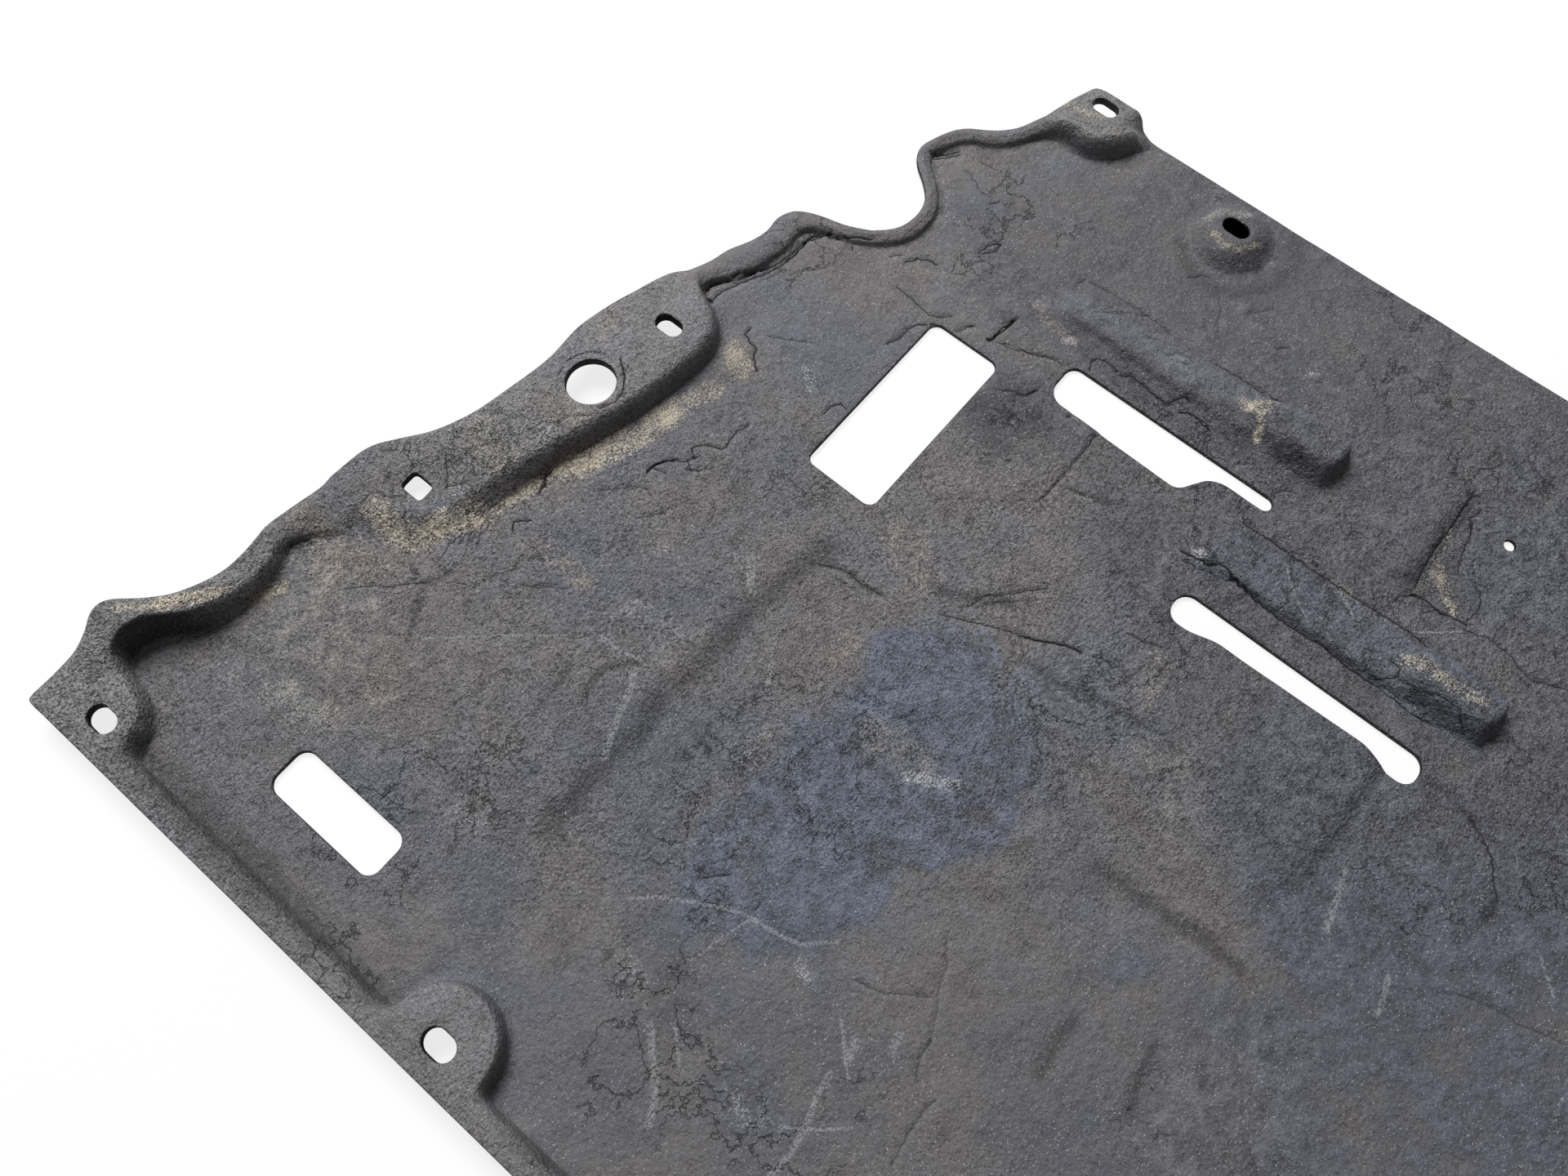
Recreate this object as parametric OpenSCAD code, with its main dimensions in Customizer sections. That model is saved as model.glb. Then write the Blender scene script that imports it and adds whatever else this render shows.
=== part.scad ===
/* [Sheet] */
// Width across the two long side edges
cover_w = 698; // [680:1:740]
// Length from the rear edge to the tip of the front lip
cover_l = 780; // [750:1:840]
// Thickness of the moulded sheet
wall = 3.2; // [2.4:0.1:4]
// Radius of the two rear corners in plan
rear_corner_r = 14; // [6:1:30]
// Margin between the plain side and rear edges and the edge of the floor's flat field
plain_margin = 8; // [6:1:12]
// How far the front right pad stands out past the plain right edge
pad_overhang = 2; // [0:0.5:5]

/* [Fixing flange] */
// Height of the fixing flange over the floor
flange_rise = 16; // [10:0.5:22]
// Width of the left rim, from its free edge to the foot of its wall
rim_w = 15.5; // [13:0.5:24]
// Plan width of the wall under the left rim
rim_run = 4; // [3:0.5:6]
// Plan width of the walls round the fixing pads
pad_run = 7; // [4:0.5:9]
// Plan width of the gentle slope at the left end of the front pad
slope_run = 22; // [12:1:26]
// Height of the front pad's low left end, over the floor
pad_left_rise = 9.5; // [8:0.5:13]
// Height of the tall lip at its tip, over the floor
lip_rise = 27; // [20:0.5:34]
// Height of the narrow bead along the right part of the front edge
bead_rise = 6.5; // [4:0.5:10]
// Plan width of the wall under the narrow bead
bead_run = 5; // [3:0.5:6]

/* [Side lobe] */
// Distance of the lobe and its hole from the left edge
lobe_inset = 18.5; // [16:0.5:24]
// Distance of the lobe and its hole ahead of the middle of the cover
lobe_y = 95; // [60:1:120]
// Radius of the lobe at the foot of its wall
lobe_r = 31; // [26:0.5:36]

/* [Fixing holes] */
// Distance from the side lobe's hole to the corner hole in the same rim
rim_hole_pitch = 249; // [230:1:255]
// Width of the slotted holes in the left rim
rim_hole_w = 12.4; // [8:0.2:16]
// Length of the slotted holes in the left rim
rim_hole_l = 18; // [17:0.5:24]
// Width of the three single slotted holes
slot_hole_w = 11; // [7:0.2:14]
// Length of the three single slotted holes
slot_hole_l = 17.5; // [15:0.5:22]
// Place of the left hole in the front pad, from the middle and the front of the cover
pad_hole_left = [-129.3, -69.9];
// Place of the right hole in the front pad
pad_hole_right = [38.5, -111];
// Radius of the pressed seat round the left hole in the front pad
hole_seat_r = 14; // [11:0.5:17]
// Place of the large round hole in the front pad
round_hole_at = [-18.7, -101.5];
// Radius of the large round hole
round_hole_r = 14.8; // [10:0.2:17]
// Width of the pressed ring round the large hole
round_seat_w = 4.7; // [2:0.1:8]
// Depth of the pressed seats
seat_depth = 0.6; // [0.3:0.1:1]
// Distances of the corner pad's hole from the right edge and from the front of the cover
corner_hole_in = [11.8, -214.5];

/* [Openings] */
// Width of the wide opening
wide_w = 122; // [100:1:126]
// Length of the wide opening
wide_l = 48; // [30:1:52]
// Corner radius of the wide opening
wide_r = 6; // [2:0.5:14]
// Left front corner of the wide opening
wide_at = [28.8, 166];
// Width of the narrow opening near the left side
side_w = 27.5; // [18:0.5:40]
// Length of the narrow opening near the left side
side_l = 77.5; // [50:0.5:90]
// Corner radius of the narrow opening
side_r = 7.5; // [2:0.5:9]
// Left front corner of the narrow opening, from the left edge and from the middle
side_at = [49.2, 259.5];
// Width of the long slot where it is widest
long_w = 28.4; // [26:0.2:34]
// How far the long slot's left side leans in toward the front
long_lean = 2; // [0:0.5:4]
// Width of the long slot at its narrow end
long_neck = 9; // [6:0.5:12]
// Length of the long slot
long_l = 141; // [130:1:150]
// Length of the long slot's wide part
long_wide_l = 93; // [80:1:100]
// Right front corner of the long slot
long_at = [179.6, 85];
// Width of the rear slot at its two ends
rear_w = 19; // [16:0.5:24]
// Width of the rear slot along its middle
rear_neck = 14.4; // [8:0.2:15]
// Length of the rear slot
rear_l = 153; // [120:1:160]
// Length of the wide part at each end of the rear slot
rear_bulb_l = 23; // [22:1:32]
// Right front corner of the rear slot
rear_at = [101.4, -46];
// Radius of the small drain hole
drain_r = 3.2; // [2:0.2:5]
// Place of the small drain hole
drain_at = [241.8, -171];

/* [Raised forms] */
// Radius of the dome at its foot
dome_r = 29.5; // [24:0.5:30.5]
// Height of the dome over the floor
dome_rise = 11.5; // [6:0.5:16]
// Radius of the dome's flat top
dome_top_r = 10.5; // [9.5:0.5:13]
// Distances of the dome from the right edge and from the middle
dome_in = [31, 62.5];
// Width of the two stepped ramps at their foot
ramp_w = 37; // [36:0.5:44]
// Plan width of the left walls of the ramps' tall blocks
block_left_run = 14; // [10:0.5:15]
// Plan width of the right and rear walls of the blocks
block_run = 6; // [4:0.5:7]
// Height of the low strip that leads to each block
strip_rise = 4; // [2:0.5:5]
// Plan width of the low strips' walls
strip_run = 3; // [2:0.5:5]
// Height of the front ramp's block
front_block_rise = 16; // [8:0.5:18]
// Length of the front ramp's block
front_block_l = 76; // [60:1:90]
// Length of the front ramp, block included
front_ramp_l = 191; // [150:1:200]
// Right rear corner of the front ramp
front_ramp_at = [235, -76];
// Plan width of the slope from the front ramp's strip up to its block
front_block_slope = 26; // [8:1:34]
// Height of the rear ramp's block
rear_block_rise = 15; // [8:0.5:18]
// Length of the rear ramp's block
rear_block_l = 64; // [45:1:80]
// Plan width of the slope from the rear ramp's strip up to its block
rear_block_slope = 11; // [8:1:24]
// Length of the rear ramp, block included
rear_ramp_l = 184; // [140:1:190]
// Right rear corner of the rear ramp
rear_ramp_at = [157.5, -219];

/* [Shallow steps] */
// Depth of the sunk panel and of the sunk field's left edge
sink_depth = 1.3; // [0.6:0.1:1.8]
// Plan width of the slopes round the sunk panel
sink_run = 2; // [1:0.5:4]
// Width of the sunk panel beside the long slot
panel_w = 76; // [66:1:84]
// Length of the sunk panel
panel_l = 76; // [60:1:80]
// Left front corner of the sunk panel
panel_at = [88.5, 48.5];
// Width of the sunk field round the drain hole
field_w = 70; // [50:1:90]
// Length of the sunk field
field_l = 38; // [30:1:60]
// Left front corner of the sunk field
field_at = [182, -149];
// Height of the two low swells over the floor
swell_rise = 4; // [2:0.2:5]
// Plan width of the swells' right ends
swell_run = 9; // [5:0.5:11]
// Plan width of the swells' rear slopes
swell_rear_run = 18; // [10:0.5:20]
// Plan width over which the middle swell fades out to its left
swell_fade = 60; // [30:1:66]
// Width of the swell behind the front ramp
right_swell_w = 84; // [60:1:100]
// Length of the swell behind the front ramp
right_swell_l = 51; // [48:1:58]
// Right rear corner of the swell behind the front ramp
right_swell_at = [262, -149];
// Width of the swell beside the rear slot
middle_swell_w = 131; // [110:1:150]
// Length of the swell beside the rear slot
middle_swell_l = 113; // [80:1:120]
// Right rear corner of the swell beside the rear slot
middle_swell_at = [96, -190];

/* [Hidden] */
half_w = cover_w / 2;
front_y = cover_l / 2;
rear_y = -cover_l / 2;
left_x = -half_w;
pad_edge_x = half_w;
right_x = half_w - pad_overhang;
skin_shift = 0.7 * wall;
lap_in = 2.5;
lap_out = 1;
clear = 5;
sink_in = 0.8;
wall_steps = 6;
stations_per_row = 2;
form_steps = 6;
form_corner_steps = 3;
hole_corner_steps = 6;
dome_facets = 48;
slot_facets = 32;
round_facets = 72;
slot_r = 7;
slot_lean_r = 11;
shoulder_r = 9;
shoulder_drop = 12;
tail_r = 18;
tail_end_r = 0.48 * long_neck;
bulb_r = 8.5;
bulb_blend_r = 28;
bulb_step = 8;
panel_r = 7;
strip_in = 1;
round_share = 0.65;
swell_r = 5;
strip_lap = 3;
corner_lead = 12;
rim_end_y = rear_y + 30;
rim_end_step = 14;
rim_end_shares = [0, 0.08, 0.5, 0.94, 1];
rim_lead = 14;
flange_top = wall + flange_rise;
lobe_at = [left_x + lobe_inset, lobe_y];
mid_rise = (flange_rise + bead_rise) / 2;
foot_r = 5;
rim_foot_x = left_x + rim_w;

// Each row is one station on the edge of the sheet: the free edge's x and y, the wall foot's x and y,
// the height of the flange there and the plan width of its wall.
function moved(rows, dx, dy) = [for (r = rows) r + [dx, dy, dx, dy, 0, 0]];
function plain_row(x, y, dx, dy) = [x, y, x + dx * plain_margin, y + dy * plain_margin, 0, rim_run];
function rim_row(y, share) = [left_x, y, rim_foot_x, y, share * flange_rise, rim_run];
function rear_corner(cx, side) = [for (a = side > 0 ? [0 : 30 : 90] : [90 : -30 : 0])
    [cx + side * rear_corner_r * cos(a), rear_y + rear_corner_r * (1 - sin(a)),
     cx + side * (rear_corner_r - plain_margin) * cos(a),
     rear_y + rear_corner_r - (rear_corner_r - plain_margin) * sin(a), 0, rim_run]];

// The lobe's foot is an arc about its hole, blended into the rim's foot by two small arcs.
blend_dx = rim_foot_x + foot_r - lobe_at.x;
blend_dy = sqrt(pow(lobe_r + foot_r, 2) - blend_dx * blend_dx);
blend_a = atan2(blend_dy, blend_dx);
function lobe_blend(a, side) = let (c = [rim_foot_x + foot_r, lobe_y - side * blend_dy])
    [left_x, c.y + side * (foot_r + rim_run) * sin(a),
     c.x + foot_r * cos(a), c.y + side * foot_r * sin(a), flange_rise, rim_run];
function lobe_row(a) =
    [left_x, lobe_y + (lobe_r - rim_run) * sin(a),
     lobe_at.x + lobe_r * cos(a), lobe_y + lobe_r * sin(a), flange_rise, rim_run];
lobe_rows = concat(
    [for (a = [180, 150, 120]) lobe_blend(a, 1)],
    [for (k = [-4 : 4]) lobe_row(blend_a * k / 4)],
    [for (a = [120, 150, 180]) lobe_blend(a, -1)]);

corner_rows = [
    [0, -96, rim_w, -96, flange_rise, rim_run],
    [0, -84, rim_w, -84, flange_rise, rim_run],
    [0, -74, rim_w, -74, flange_rise, pad_run - 2],
    [0, -68, rim_w + 1.2, -70, flange_rise, pad_run - 1],
    [0, -62, rim_w + 4.7, -67.3, flange_rise, pad_run - 1],
    [0, -50, 27, -65.8, flange_rise, pad_run - 1],
    [0, -34, 34.5, -60.5, flange_rise, pad_run - 1],
    [0, -20, 40, -53, flange_rise, pad_run - 1],
    [0, -12, 42.4, -46, flange_rise, pad_run - 1],
    [3.5, -8, 43.5, -39.5, flange_rise, pad_run - 1],
    [18, -6.5, 44.4, -33.5, flange_rise, pad_run - 1],
    [34, -5.3, 46, -28.5, flange_rise + 1, pad_run - 1],
    [45, -3, 49, -25.3, 0.8 * lip_rise, pad_run - 1],
    [51.5, -0.7, 53, -24.4, 0.93 * lip_rise, pad_run - 1],
    [58, 0, 58, -24.4, lip_rise, pad_run - 1],
    [65, -3, 66, -26.6, lip_rise, pad_run - 1],
    [77, -15, 74.5, -33, 0.93 * lip_rise, pad_run - 1],
    [89, -23.5, 84, -40.3, 0.85 * lip_rise, pad_run - 1],
    [105, -28.7, 99, -45.8, 0.72 * lip_rise, pad_run - 1],
    [117, -29.6, 114, -47.8, flange_rise, pad_run - 1],
    [129, -29, 127, -47.4, flange_rise - 1, pad_run - 1],
    [140, -26.4, 138, -43.8, flange_rise - 3, pad_run - 2],
    [151.2, -23, 148, -38.8, pad_left_rise + 1, pad_run - 2],
    [166.5, -23.6, 159, -42, pad_left_rise - 1, pad_run]];
pad_rows = [
    [-166.2, -26.4, -180, -50, pad_left_rise - 1, slope_run - 7],
    [-153, -27.6, -172, -62, pad_left_rise - 0.5, slope_run - 3],
    [-142.9, -28.4, -165, -76, pad_left_rise, slope_run - 1],
    [-133.8, -29.3, -156, -90, pad_left_rise, slope_run],
    [-124.9, -32.5, -143, -101.5, pad_left_rise, slope_run - 2],
    [-114, -40, -126, -107.5, pad_left_rise, slope_run - 5],
    [-99.4, -52.3, -106, -109.5, pad_left_rise + 3, slope_run - 9],
    [-78, -63, -80, -114, flange_rise - 0.5, pad_run + 3],
    [-50, -68.5, -50, -121.3, flange_rise, pad_run + 1],
    [-22, -72, -21, -129.3, flange_rise, pad_run],
    [2, -70.4, -1, -133.6, flange_rise, pad_run],
    [18, -72.4, 19, -136.7, flange_rise, pad_run],
    [33, -75.8, 38, -138.2, flange_rise, pad_run],
    [45, -79.4, 53, -135.8, flange_rise, pad_run],
    [54, -82, 63.5, -128, flange_rise, pad_run],
    [61, -84.2, 69.5, -118, flange_rise, pad_run],
    [67.5, -86.2, 73.2, -109, flange_rise - 1, pad_run - 1],
    [75.5, -88.8, 78, -103.5, mid_rise, bead_run + 1],
    [85.3, -90.6, 83, -104, bead_rise + 1, bead_run],
    [95.3, -93.5, 90, -107.6, bead_rise, bead_run]];
bead_rows = [
    [-242.2, -95.9, -250.5, -114.4, bead_rise, bead_run],
    [-226.4, -102.7, -230.6, -120, bead_rise, bead_run],
    [-214.7, -105.1, -215.7, -122.3, bead_rise, bead_run],
    [-202.7, -104.1, -203.5, -121.2, bead_rise, bead_run],
    [-192.7, -108.7, -197, -124.4, bead_rise, bead_run],
    [-185.9, -120.4, -192.4, -133, bead_rise, bead_run],
    [-180.5, -140.1, -187.6, -147.3, bead_rise, bead_run],
    [-173.7, -154.4, -181.3, -159, bead_rise, bead_run],
    [-165.7, -163.1, -173, -169, bead_rise, bead_run],
    [-158.3, -167.3, -163.5, -175.8, bead_rise, bead_run],
    [-149, -168.9, -151, -178.7, bead_rise, bead_run],
    [-141.2, -168.3, -140.5, -178, bead_rise, bead_run],
    [-132.3, -164.6, -129.1, -173.2, bead_rise, bead_run],
    [-124.4, -156.8, -119.3, -164.3, bead_rise, bead_run],
    [-115.7, -145.5, -111, -154.3, bead_rise, bead_run],
    [-108.7, -140.1, -105.8, -149, bead_rise, bead_run],
    [-101.2, -138.7, -99.6, -147.4, bead_rise, bead_run],
    [-91, -141.4, -91.5, -150.8, bead_rise, bead_run],
    [-79.2, -146.9, -83.3, -155, bead_rise, bead_run],
    [-72.3, -152.6, -77.6, -161, bead_rise, bead_run],
    [-66.4, -161.1, -73, -170.2, bead_rise, bead_run],
    [-60.5, -168.6, -67.8, -177, bead_rise, bead_run],
    [-51.4, -176.8, -59.4, -183.5, bead_rise + 0.5, bead_run],
    [-40.5, -182.1, -49.4, -189.3, bead_rise + 1.5, bead_run],
    [-31, -188, -42.5, -195, mid_rise, bead_run + 1],
    [-20.5, -193.4, -39.8, -202.5, flange_rise, pad_run - 1],
    [-9, -197.4, -40.3, -210.5, flange_rise, pad_run],
    [-2, -200.6, -40.3, -218, flange_rise, pad_run],
    [0, -208, -38, -225.5, flange_rise, pad_run],
    [0, -218, -34, -231.7, flange_rise, pad_run],
    [0, -227, -27.5, -238, flange_rise, pad_run],
    [0, -232, -20.5, -242, flange_rise, pad_run],
    [-0.5, -236.5, -15.5, -244.5, 0.75 * flange_rise, pad_run],
    [-0.8 * pad_overhang, -241.5, -pad_overhang - 9.6, -248, 0.25 * flange_rise, pad_run - 1],
    [-pad_overhang, -247, -pad_overhang - plain_margin, -254, 0, rim_run],
    [-pad_overhang, -258, -pad_overhang - plain_margin, -264, 0, rim_run]];
edge_rows = concat(
    [for (k = [0 : len(rim_end_shares) - 1]) rim_row(rim_end_y + k * rim_end_step, rim_end_shares[k])],
    [for (k = [2, 1]) rim_row(lobe_y - lobe_r - k * rim_lead, 1)],
    lobe_rows,
    [for (k = [1, 2]) rim_row(lobe_y + lobe_r + k * rim_lead, 1)],
    moved(corner_rows, left_x, front_y),
    moved(pad_rows, 0, front_y),
    moved(bead_rows, pad_edge_x, front_y),
    [for (k = [2, 1]) plain_row(right_x, rear_y + rear_corner_r + k * corner_lead, -1, 0)],
    rear_corner(right_x - rear_corner_r, 1),
    [for (x = [right_x - rear_corner_r - corner_lead, left_x + rear_corner_r + corner_lead])
        plain_row(x, rear_y, 0, 1)],
    rear_corner(left_x + rear_corner_r, -1));

// A smooth curve through the rows, with every value of a row blended alike. Spans are weighed by the
// root of their length, so that a short one beside a long one makes no loop.
function span(a, b) = sqrt(max(1, norm([for (k = [0 : 3]) b[k] - a[k]])));
function blend(a, b, c, d, t) = let (
        p = span(a, b), q = span(b, c), r = span(c, d),
        m = q * ((b - a) / p - (c - a) / (p + q)) + c - b,
        n = q * ((d - c) / r - (d - b) / (q + r)) + c - b)
    b * (2 * t * t * t - 3 * t * t + 1) + m * (t * t * t - 2 * t * t + t)
    + c * (3 * t * t - 2 * t * t * t) + n * (t * t * t - t * t);
function smooth_loop(rows, steps) = let (n = len(rows))
    [for (i = [0 : n - 1]) for (j = [0 : steps - 1])
        blend(rows[(i + n - 1) % n], rows[i], rows[(i + 1) % n], rows[(i + 2) % n], j / steps)];
function unit(v) = v / norm(v);
function foot(s) = [s[2], s[3]];
function outward(stations, i) = let (
        n = len(stations),
        along = unit(foot(stations[(i + 1) % n]) - foot(stations[(i + n - 1) % n])))
    [-along.y, along.x];

// Height along a wall from foot to crest, both from 0 to 1, with a round at each end.
function ease(u) = u - 0.85 * sin(360 * u) / 6.2832;

// The same for the flange's wall: the steeper it is, the more it bulges toward its crest.
function bulge(u, rise, run) = let (steep = min(1, rise / run / 2))
    steep * (2 * u - u * u) + (1 - steep) * ease(u);

stations = smooth_loop(edge_rows, stations_per_row);

// Rounded polygon: each row is a corner's x, y and radius.
function corner_arc(p, q, s, r, steps) = let (
        a = unit(p - q), b = unit(s - q),
        half = acos(a * b) / 2,
        c = q + unit(a + b) * r / sin(half),
        from = q + a * r / tan(half) - c,
        to = q + b * r / tan(half) - c,
        start = atan2(from.y, from.x),
        turn = (atan2(to.y, to.x) - start + 540) % 360 - 180)
    [for (i = [0 : steps]) c + r * [cos(start + turn * i / steps), sin(start + turn * i / steps)]];
function xy(row) = [row.x, row.y];
function rounded(rows, steps) = let (n = len(rows))
    [for (i = [0 : n - 1])
        each corner_arc(xy(rows[(i + n - 1) % n]), xy(rows[i]), xy(rows[(i + 1) % n]), rows[i][2], steps)];
function box_rows(x0, y0, x1, y1, r) = [[x0, y0, r], [x1, y0, r], [x1, y1, r], [x0, y1, r]];

// Raised forms. Each row is the right rear corner's x and y, width, length, height, the length over which
// the top climbs toward the rear, or 0 for a level top, the plan widths of the left, right, rear and front
// walls, and the corner radius.
function ramp_forms(at, l, block_l, rise, slope) = let (
        strip_y = at.y + block_l - slope - strip_lap,
        strip_l = at.y + l - strip_y)
    [[at.x, at.y, ramp_w, block_l, rise, 0,
      block_left_run, block_run, block_run, slope, round_share * block_run],
     [at.x - strip_in, strip_y, ramp_w - 2 * strip_in, strip_l, strip_rise, 0,
      strip_run, strip_run, strip_run, strip_run, strip_run]];
forms = concat(
    ramp_forms(front_ramp_at, front_ramp_l, front_block_l, front_block_rise, front_block_slope),
    ramp_forms(rear_ramp_at, rear_ramp_l, rear_block_l, rear_block_rise, rear_block_slope),
    [[right_swell_at.x, right_swell_at.y, right_swell_w, right_swell_l,
      swell_rise, right_swell_l - swell_rear_run,
      swell_run, swell_run, swell_rear_run, swell_run, swell_r],
     [middle_swell_at.x, middle_swell_at.y, middle_swell_w, middle_swell_l,
      swell_rise, middle_swell_l - swell_rear_run,
      swell_fade, swell_run, swell_rear_run, swell_run, swell_r]]);
function form_ring(f, u, inset, base, height) = let (
        x0 = f[0] - f[2] + inset + u * f[6],
        x1 = f[0] - inset - u * f[7],
        y0 = f[1] + inset + u * f[8],
        y1 = f[1] + f[3] - inset - u * f[9])
    [for (p = rounded(box_rows(x0, y0, x1, y1, f[10]), form_corner_steps))
        [p.x, p.y, base + height * (f[5] > 0 ? min(1, (f[1] + f[3] - p.y) / f[5]) : 1)]];
function form_rings(f, inset, base) = [for (k = [0 : form_steps]) let (u = k / form_steps)
    form_ring(f, u, inset, base - sink_in, (f[4] + sink_in) * ease(u))];

// Closed solid through a stack of rings that all have the same number of points.
module ring_stack(rings) {
    n = len(rings[0]);
    m = len(rings);
    polyhedron(
        points = [for (r = rings) each r],
        faces = concat(
            [[for (i = [0 : n - 1]) i]],
            [for (k = [0 : m - 2]) for (i = [0 : n - 1]) let (j = (i + 1) % n)
                each [[k * n + i, (k + 1) * n + i, (k + 1) * n + j],
                      [k * n + i, (k + 1) * n + j, k * n + j]]],
            [[for (i = [n - 1 : -1 : 0]) (m - 1) * n + i]]));
}

// The band of sheet round the edge: a lap on the floor, the wall and the flange, in one skin.
module edge_band() {
    n = len(stations);
    sections = [for (i = [0 : n - 1]) let (
            s = stations[i], out = outward(stations, i), rise = max(0, s[4]), run = s[5])
        concat(
            [[foot(s) - lap_in * out, wall]],
            [for (k = [0 : wall_steps]) let (u = k / wall_steps)
                [foot(s) + u * run * out, wall + rise * bulge(u, rise, run)]],
            [[xy(s), wall + rise], [xy(s), rise]],
            [for (k = [wall_steps : -1 : 0]) let (u = k / wall_steps)
                [foot(s) + (u * run + skin_shift) * out, rise * bulge(u, rise, run)]],
            [[foot(s) - lap_in * out, 0]])];
    m = len(sections[0]);
    polyhedron(
        points = [for (s = sections) for (p = s) [p[0].x, p[0].y, p[1]]],
        faces = [for (i = [0 : n - 1]) for (k = [0 : m - 1]) let (
                i2 = (i + 1) % n, k2 = (k + 1) % m)
            each [[i * m + k, i2 * m + k2, i2 * m + k], [i * m + k, i * m + k2, i2 * m + k2]]]);
}

module floor_field() {
    linear_extrude(wall)
        polygon([for (i = [0 : len(stations) - 1]) foot(stations[i]) + lap_out * outward(stations, i)]);
}

// The dome and, with narrow and base, the hollow under it.
module dome(narrow, base, start) {
    run = dome_r - dome_top_r;
    translate([right_x - dome_in.x, dome_in.y, 0])
        rotate_extrude($fn = dome_facets)
            polygon(concat(
                [[0, start], [dome_r - narrow, start]],
                [for (k = [0 : form_steps]) let (u = k / form_steps)
                    [dome_r - narrow - u * run, base - sink_in + (dome_rise + sink_in) * ease(u)]],
                [[0, base + dome_rise]]));
}

// A hole with two round ends along the length of the cover, through any height of sheet.
module slot_cut(at, w, l) {
    h = flange_top + 2 * clear;
    translate([at.x, at.y, -clear]) {
        for (side = [-1, 1])
            translate([0, side * (l - w) / 2, 0])
                cylinder(h = h, d = w, $fn = slot_facets);
        translate([-w / 2, -(l - w) / 2, 0])
            cube([w, l - w, h]);
    }
}

module floor_cut(rows) {
    translate([0, 0, -clear])
        linear_extrude(wall + 2 * clear)
            polygon(rounded(rows, hole_corner_steps));
}

module openings() {
    floor_cut(box_rows(wide_at.x, wide_at.y - wide_l, wide_at.x + wide_w, wide_at.y, wide_r));
    side_x = left_x + side_at.x;
    floor_cut(box_rows(side_x, side_at.y - side_l, side_x + side_w, side_at.y, side_r));
    long_slot();
    rear_slot();
    translate([drain_at.x, drain_at.y, -clear])
        cylinder(h = wall + 2 * clear, r = drain_r, $fn = slot_facets);
}

// The long slot: wide at the front, then a slanted shoulder down to its narrow tail.
module long_slot() {
    shoulder_y = long_at.y - long_wide_l;
    floor_cut([
        [long_at.x, long_at.y - long_l, tail_end_r],
        [long_at.x, long_at.y, slot_r],
        [long_at.x - long_w + long_lean, long_at.y, slot_lean_r],
        [long_at.x - long_w, shoulder_y, shoulder_r],
        [long_at.x - long_neck, shoulder_y - shoulder_drop, tail_r],
        [long_at.x - long_neck, long_at.y - long_l, tail_end_r]]);
}

// The rear slot: straight on its right side, wider at both ends on its left.
module rear_slot() {
    rear_end = rear_at.y - rear_l;
    left = rear_at.x - rear_w;
    inner = rear_at.x - rear_neck;
    floor_cut([
        [rear_at.x, rear_end, bulb_r],
        [rear_at.x, rear_at.y, bulb_r],
        [left, rear_at.y, bulb_r],
        [left, rear_at.y - rear_bulb_l + bulb_step, bulb_blend_r],
        [inner, rear_at.y - rear_bulb_l - bulb_step, bulb_blend_r],
        [inner, rear_end + rear_bulb_l + bulb_step, bulb_blend_r],
        [left, rear_end + rear_bulb_l - bulb_step, bulb_blend_r],
        [left, rear_end, bulb_r]]);
}

module fixing_holes() {
    for (y = [lobe_y, lobe_y + rim_hole_pitch])
        slot_cut([lobe_at.x, y], rim_hole_w, rim_hole_l);
    for (at = [pad_hole_left + [0, front_y],
               pad_hole_right + [0, front_y],
               [pad_edge_x - corner_hole_in.x, front_y + corner_hole_in.y],
               [right_x - dome_in.x, dome_in.y]])
        slot_cut(at, slot_hole_w, slot_hole_l);
    translate([round_hole_at.x, front_y + round_hole_at.y, -clear])
        cylinder(h = flange_top + 2 * clear, r = round_hole_r, $fn = round_facets);
}

// Shallow round seats pressed into the top of the front pad.
module seats() {
    for (seat = [[pad_hole_left, hole_seat_r, wall + pad_left_rise],
                 [round_hole_at, round_hole_r + round_seat_w, flange_top]])
        translate([seat[0].x, front_y + seat[0].y, seat[2] - seat_depth])
            cylinder(h = seat_depth + clear, r = seat[1], $fn = round_facets);
}

// The sunk panel, and the sunk field whose floor comes back up to its right.
module sinks() {
    over = 1;
    flare = sink_run * over / sink_depth;
    x1 = panel_at.x + panel_w;
    y0 = panel_at.y - panel_l;
    ring_stack([for (ring = [[sink_run, -sink_depth], [-flare, over]]) let (
            d = ring[0],
            rows = box_rows(panel_at.x + d, y0 + d, x1 - d, panel_at.y - d, panel_r))
        [for (p = rounded(rows, form_corner_steps)) [p.x, p.y, wall + ring[1]]]]);
    translate([field_at.x, field_at.y, wall])
        rotate([90, 0, 0])
            linear_extrude(field_l)
                polygon([[sink_run, -sink_depth], [field_w, 0], [field_w, over], [-flare, over]]);
}

module under_cover() {
    color("dimgray") {
        difference() {
            union() {
                edge_band();
                floor_field();
                for (f = forms)
                    ring_stack(form_rings(f, 0, wall));
                dome(0, wall, wall - sink_in);
            }
            for (f = forms)
                ring_stack(concat([form_ring(f, 0, skin_shift, -clear, 0)], form_rings(f, skin_shift, 0)));
            dome(skin_shift, 0, -clear);
            sinks();
            seats();
            openings();
            fixing_holes();
        }
    }
}

under_cover();
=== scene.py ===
"""Under engine cover: one moulded sheet with a raised fixing flange, dressed for the photograph's view.

Sizes are in millimetres. They become metres when the mesh is made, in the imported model's own frame.
"""

from __future__ import annotations

import logging
import math
from dataclasses import dataclass, field
from enum import Enum
from functools import partial
from typing import Any, Sequence

import bpy
import numpy as np
from mathutils import Matrix, Vector
from mathutils.geometry import delaunay_2d_cdt


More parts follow.
